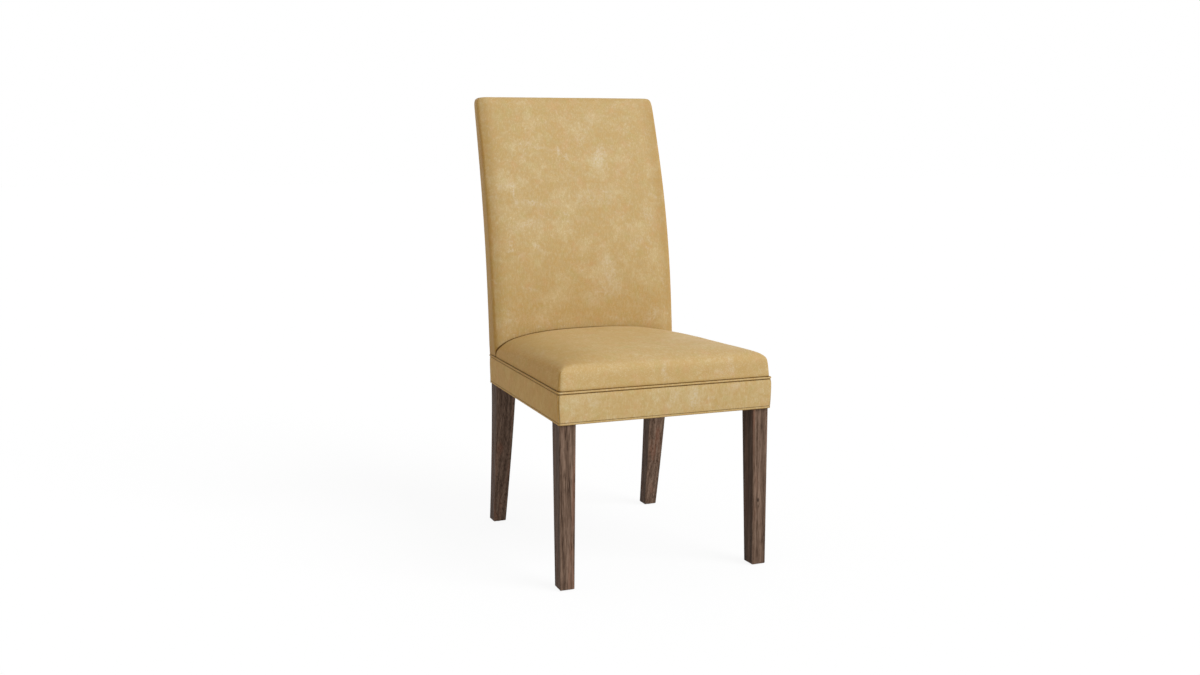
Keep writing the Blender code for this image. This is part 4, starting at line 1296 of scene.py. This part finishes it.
def makeDustCover(tree, sockets):
    values = dustCover
    legLow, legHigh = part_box("front_leg_right")
    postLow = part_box("rear_post_right")[0]
    gap = values["legGap"]
    front, rear = frontY + values["edgeInset"], seatRearY - 0.0045
    legX, legY = legLow.x - gap, legHigh.y + gap
    postX, postY = postLow.x - gap, postLow.y - gap
    level = chair["frameBottom"] - 0.0001
    ys = [front, (front + legY) / 2] + spread(legY, postY, 15) + [(postY + rear) / 2, rear]
    inner = sorted(set(spread(-postX, postX, 15)) | {-legX, legX})

    def outerHalf(y):
        return seatHalf(y) - values["edgeInset"]

    def sagged(x, y):
        share = (1 - (x / outerHalf(y)) ** 2) * (1 - ((2 * y - front - rear) / (rear - front)) ** 2)
        wave = noise.noise(Vector((x / 0.05, y / 0.05, 1.0))) * 0.0006 * max(0.0, share) ** 0.5
        return Vector((x, y, level - values["sag"] * max(0.0, share) - wave))

    rows = [[sagged(x, y) for x in (-outerHalf(y), *inner, outerHalf(y))] for y in ys]
    sheet = bmesh.new()
    grid = [[sheet.verts.new(point) for point in line] for line in rows]
    for row in range(len(rows) - 1):
        for step in range(len(rows[0]) - 1):
            middle = (rows[row][step] + rows[row + 1][step + 1]) / 2
            atLeg = abs(middle.x) > legX and middle.y < legY
            atPost = abs(middle.x) > postX and middle.y > postY
            if not atLeg and not atPost:
                sheet.faces.new((grid[row][step], grid[row + 1][step], grid[row + 1][step + 1], grid[row][step + 1]))
    loose = [vert for vert in sheet.verts if not vert.link_faces]
    bmesh.ops.delete(sheet, geom=loose, context="VERTS")
    mesh = bpy.data.meshes.new("dustCover")
    sheet.to_mesh(mesh)
    sheet.free()
    cover = newPiece("dustCover", mesh)
    addSmoothing(cover, 1)
    addWall(cover, values["thickness"])
    bakeIn(cover)
    finishPiece(cover, lining)
    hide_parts("dust_cover")

    margin = values["stapleMargin"]
    runs = [
        [(-legX + margin, front + margin), (legX - margin, front + margin)],
        [(-postX + margin, rear - margin), (postX - margin, rear - margin)],
    ]
    for side in (-1, 1):
        start, end = legY + margin, postY - margin
        runs.append([(side * (outerHalf(start) - margin), start), (side * (outerHalf(end) - margin), end)])
    lines = [[(x, y, level - values["stapleDrop"]) for x, y in line] for line in runs]
    staples = grownPiece("dustCoverStaples", newRun("stapleRun", lines), tree, sockets, {
        "Pitch": values["staplePitch"], "Size": values["staple"], "Jitter": 0.16, "Seed": 11, "Square": True,
        "Thread": stapleFinish})
    finishPiece(staples, stapleFinish)
    print("dust cover made")


makeSeatCushion()
makeInsideBack()
makeOutsidePanel()
makeBorderBand()
weltTree, weltSockets = makeWeltTree()
makeWelt(weltTree, weltSockets)
stitchTree, stitchSockets = makeStitchTree()
makeStitches(stitchTree, stitchSockets)
makeDustCover(stitchTree, stitchSockets)


# Plain pale floor, one soft lamp from the front right and a white room
studio = {
    "floorSize": 60.0,
    "floorWhite": 0.91,
    "floorShade": 0.10,
    "floorBounce": 0.66,
    "roomLevel": 0.500,
    "keyFrom": (0.62, -0.82, 0.84),
    "keySpread": 38,
    "keyLevel": 2.10,
}


def seenDirectly(tree):
    path = put(tree, "LightPath").outputs
    seen = calc(tree, "MAXIMUM", path["Is Camera Ray"], path["Is Glossy Ray"])
    return calc(tree, "MAXIMUM", seen, path["Is Transmission Ray"])


def makeStudio():
    half = studio["floorSize"] / 2
    mesh = bpy.data.meshes.new("floor")
    mesh.from_pydata([(-half, -half, 0), (half, -half, 0), (half, half, 0), (-half, half, 0)], [], [(0, 1, 2, 3)])
    floor = newPiece("floor", mesh)
    finish = bpy.data.materials.new("pale floor")
    finish.use_nodes = True
    tree = finish.node_tree
    tree.nodes.clear()
    # seen directly it glows white and only the shadows tell; the chair gets its plain bounce
    seen = seenDirectly(tree)
    grey = ramp(tree, seen, 0.0, 1.0, studio["floorBounce"], studio["floorShade"])
    matte = put(tree, "BsdfDiffuse", {"Color": put(tree, "CombineColor", {0: grey, 1: grey, 2: grey}).outputs[0]})
    share = times(tree, seen, studio["floorWhite"])
    glow = put(tree, "Emission", {"Color": (1.0, 1.0, 1.0, 1.0), "Strength": share})
    both = put(tree, "AddShader", {0: matte.outputs[0], 1: glow.outputs[0]})
    put(tree, "OutputMaterial", {"Surface": both.outputs[0]})
    mesh.materials.append(finish)

    room = bpy.data.worlds.new("white room")
    scene.world = room
    room.use_nodes = True
    tree = room.node_tree
    tree.nodes.clear()
    strength = ramp(tree, seenDirectly(tree), 0.0, 1.0, studio["roomLevel"], 1.0)
    backdrop = put(tree, "Background", {"Color": (1.0, 1.0, 1.0, 1.0), "Strength": strength})
    put(tree, "OutputWorld", {"Surface": backdrop.outputs[0]})

    lamp = bpy.data.lights.new("key lamp", "SUN")
    lamp.angle = math.radians(studio["keySpread"])
    lamp.energy = studio["keyLevel"]
    key = bpy.data.objects.new("key lamp", lamp)
    scene.collection.objects.link(key)
    key.rotation_euler = Vector(studio["keyFrom"]).to_track_quat("Z", "Y").to_euler()


makeStudio()
scene.view_settings.view_transform = "Standard"
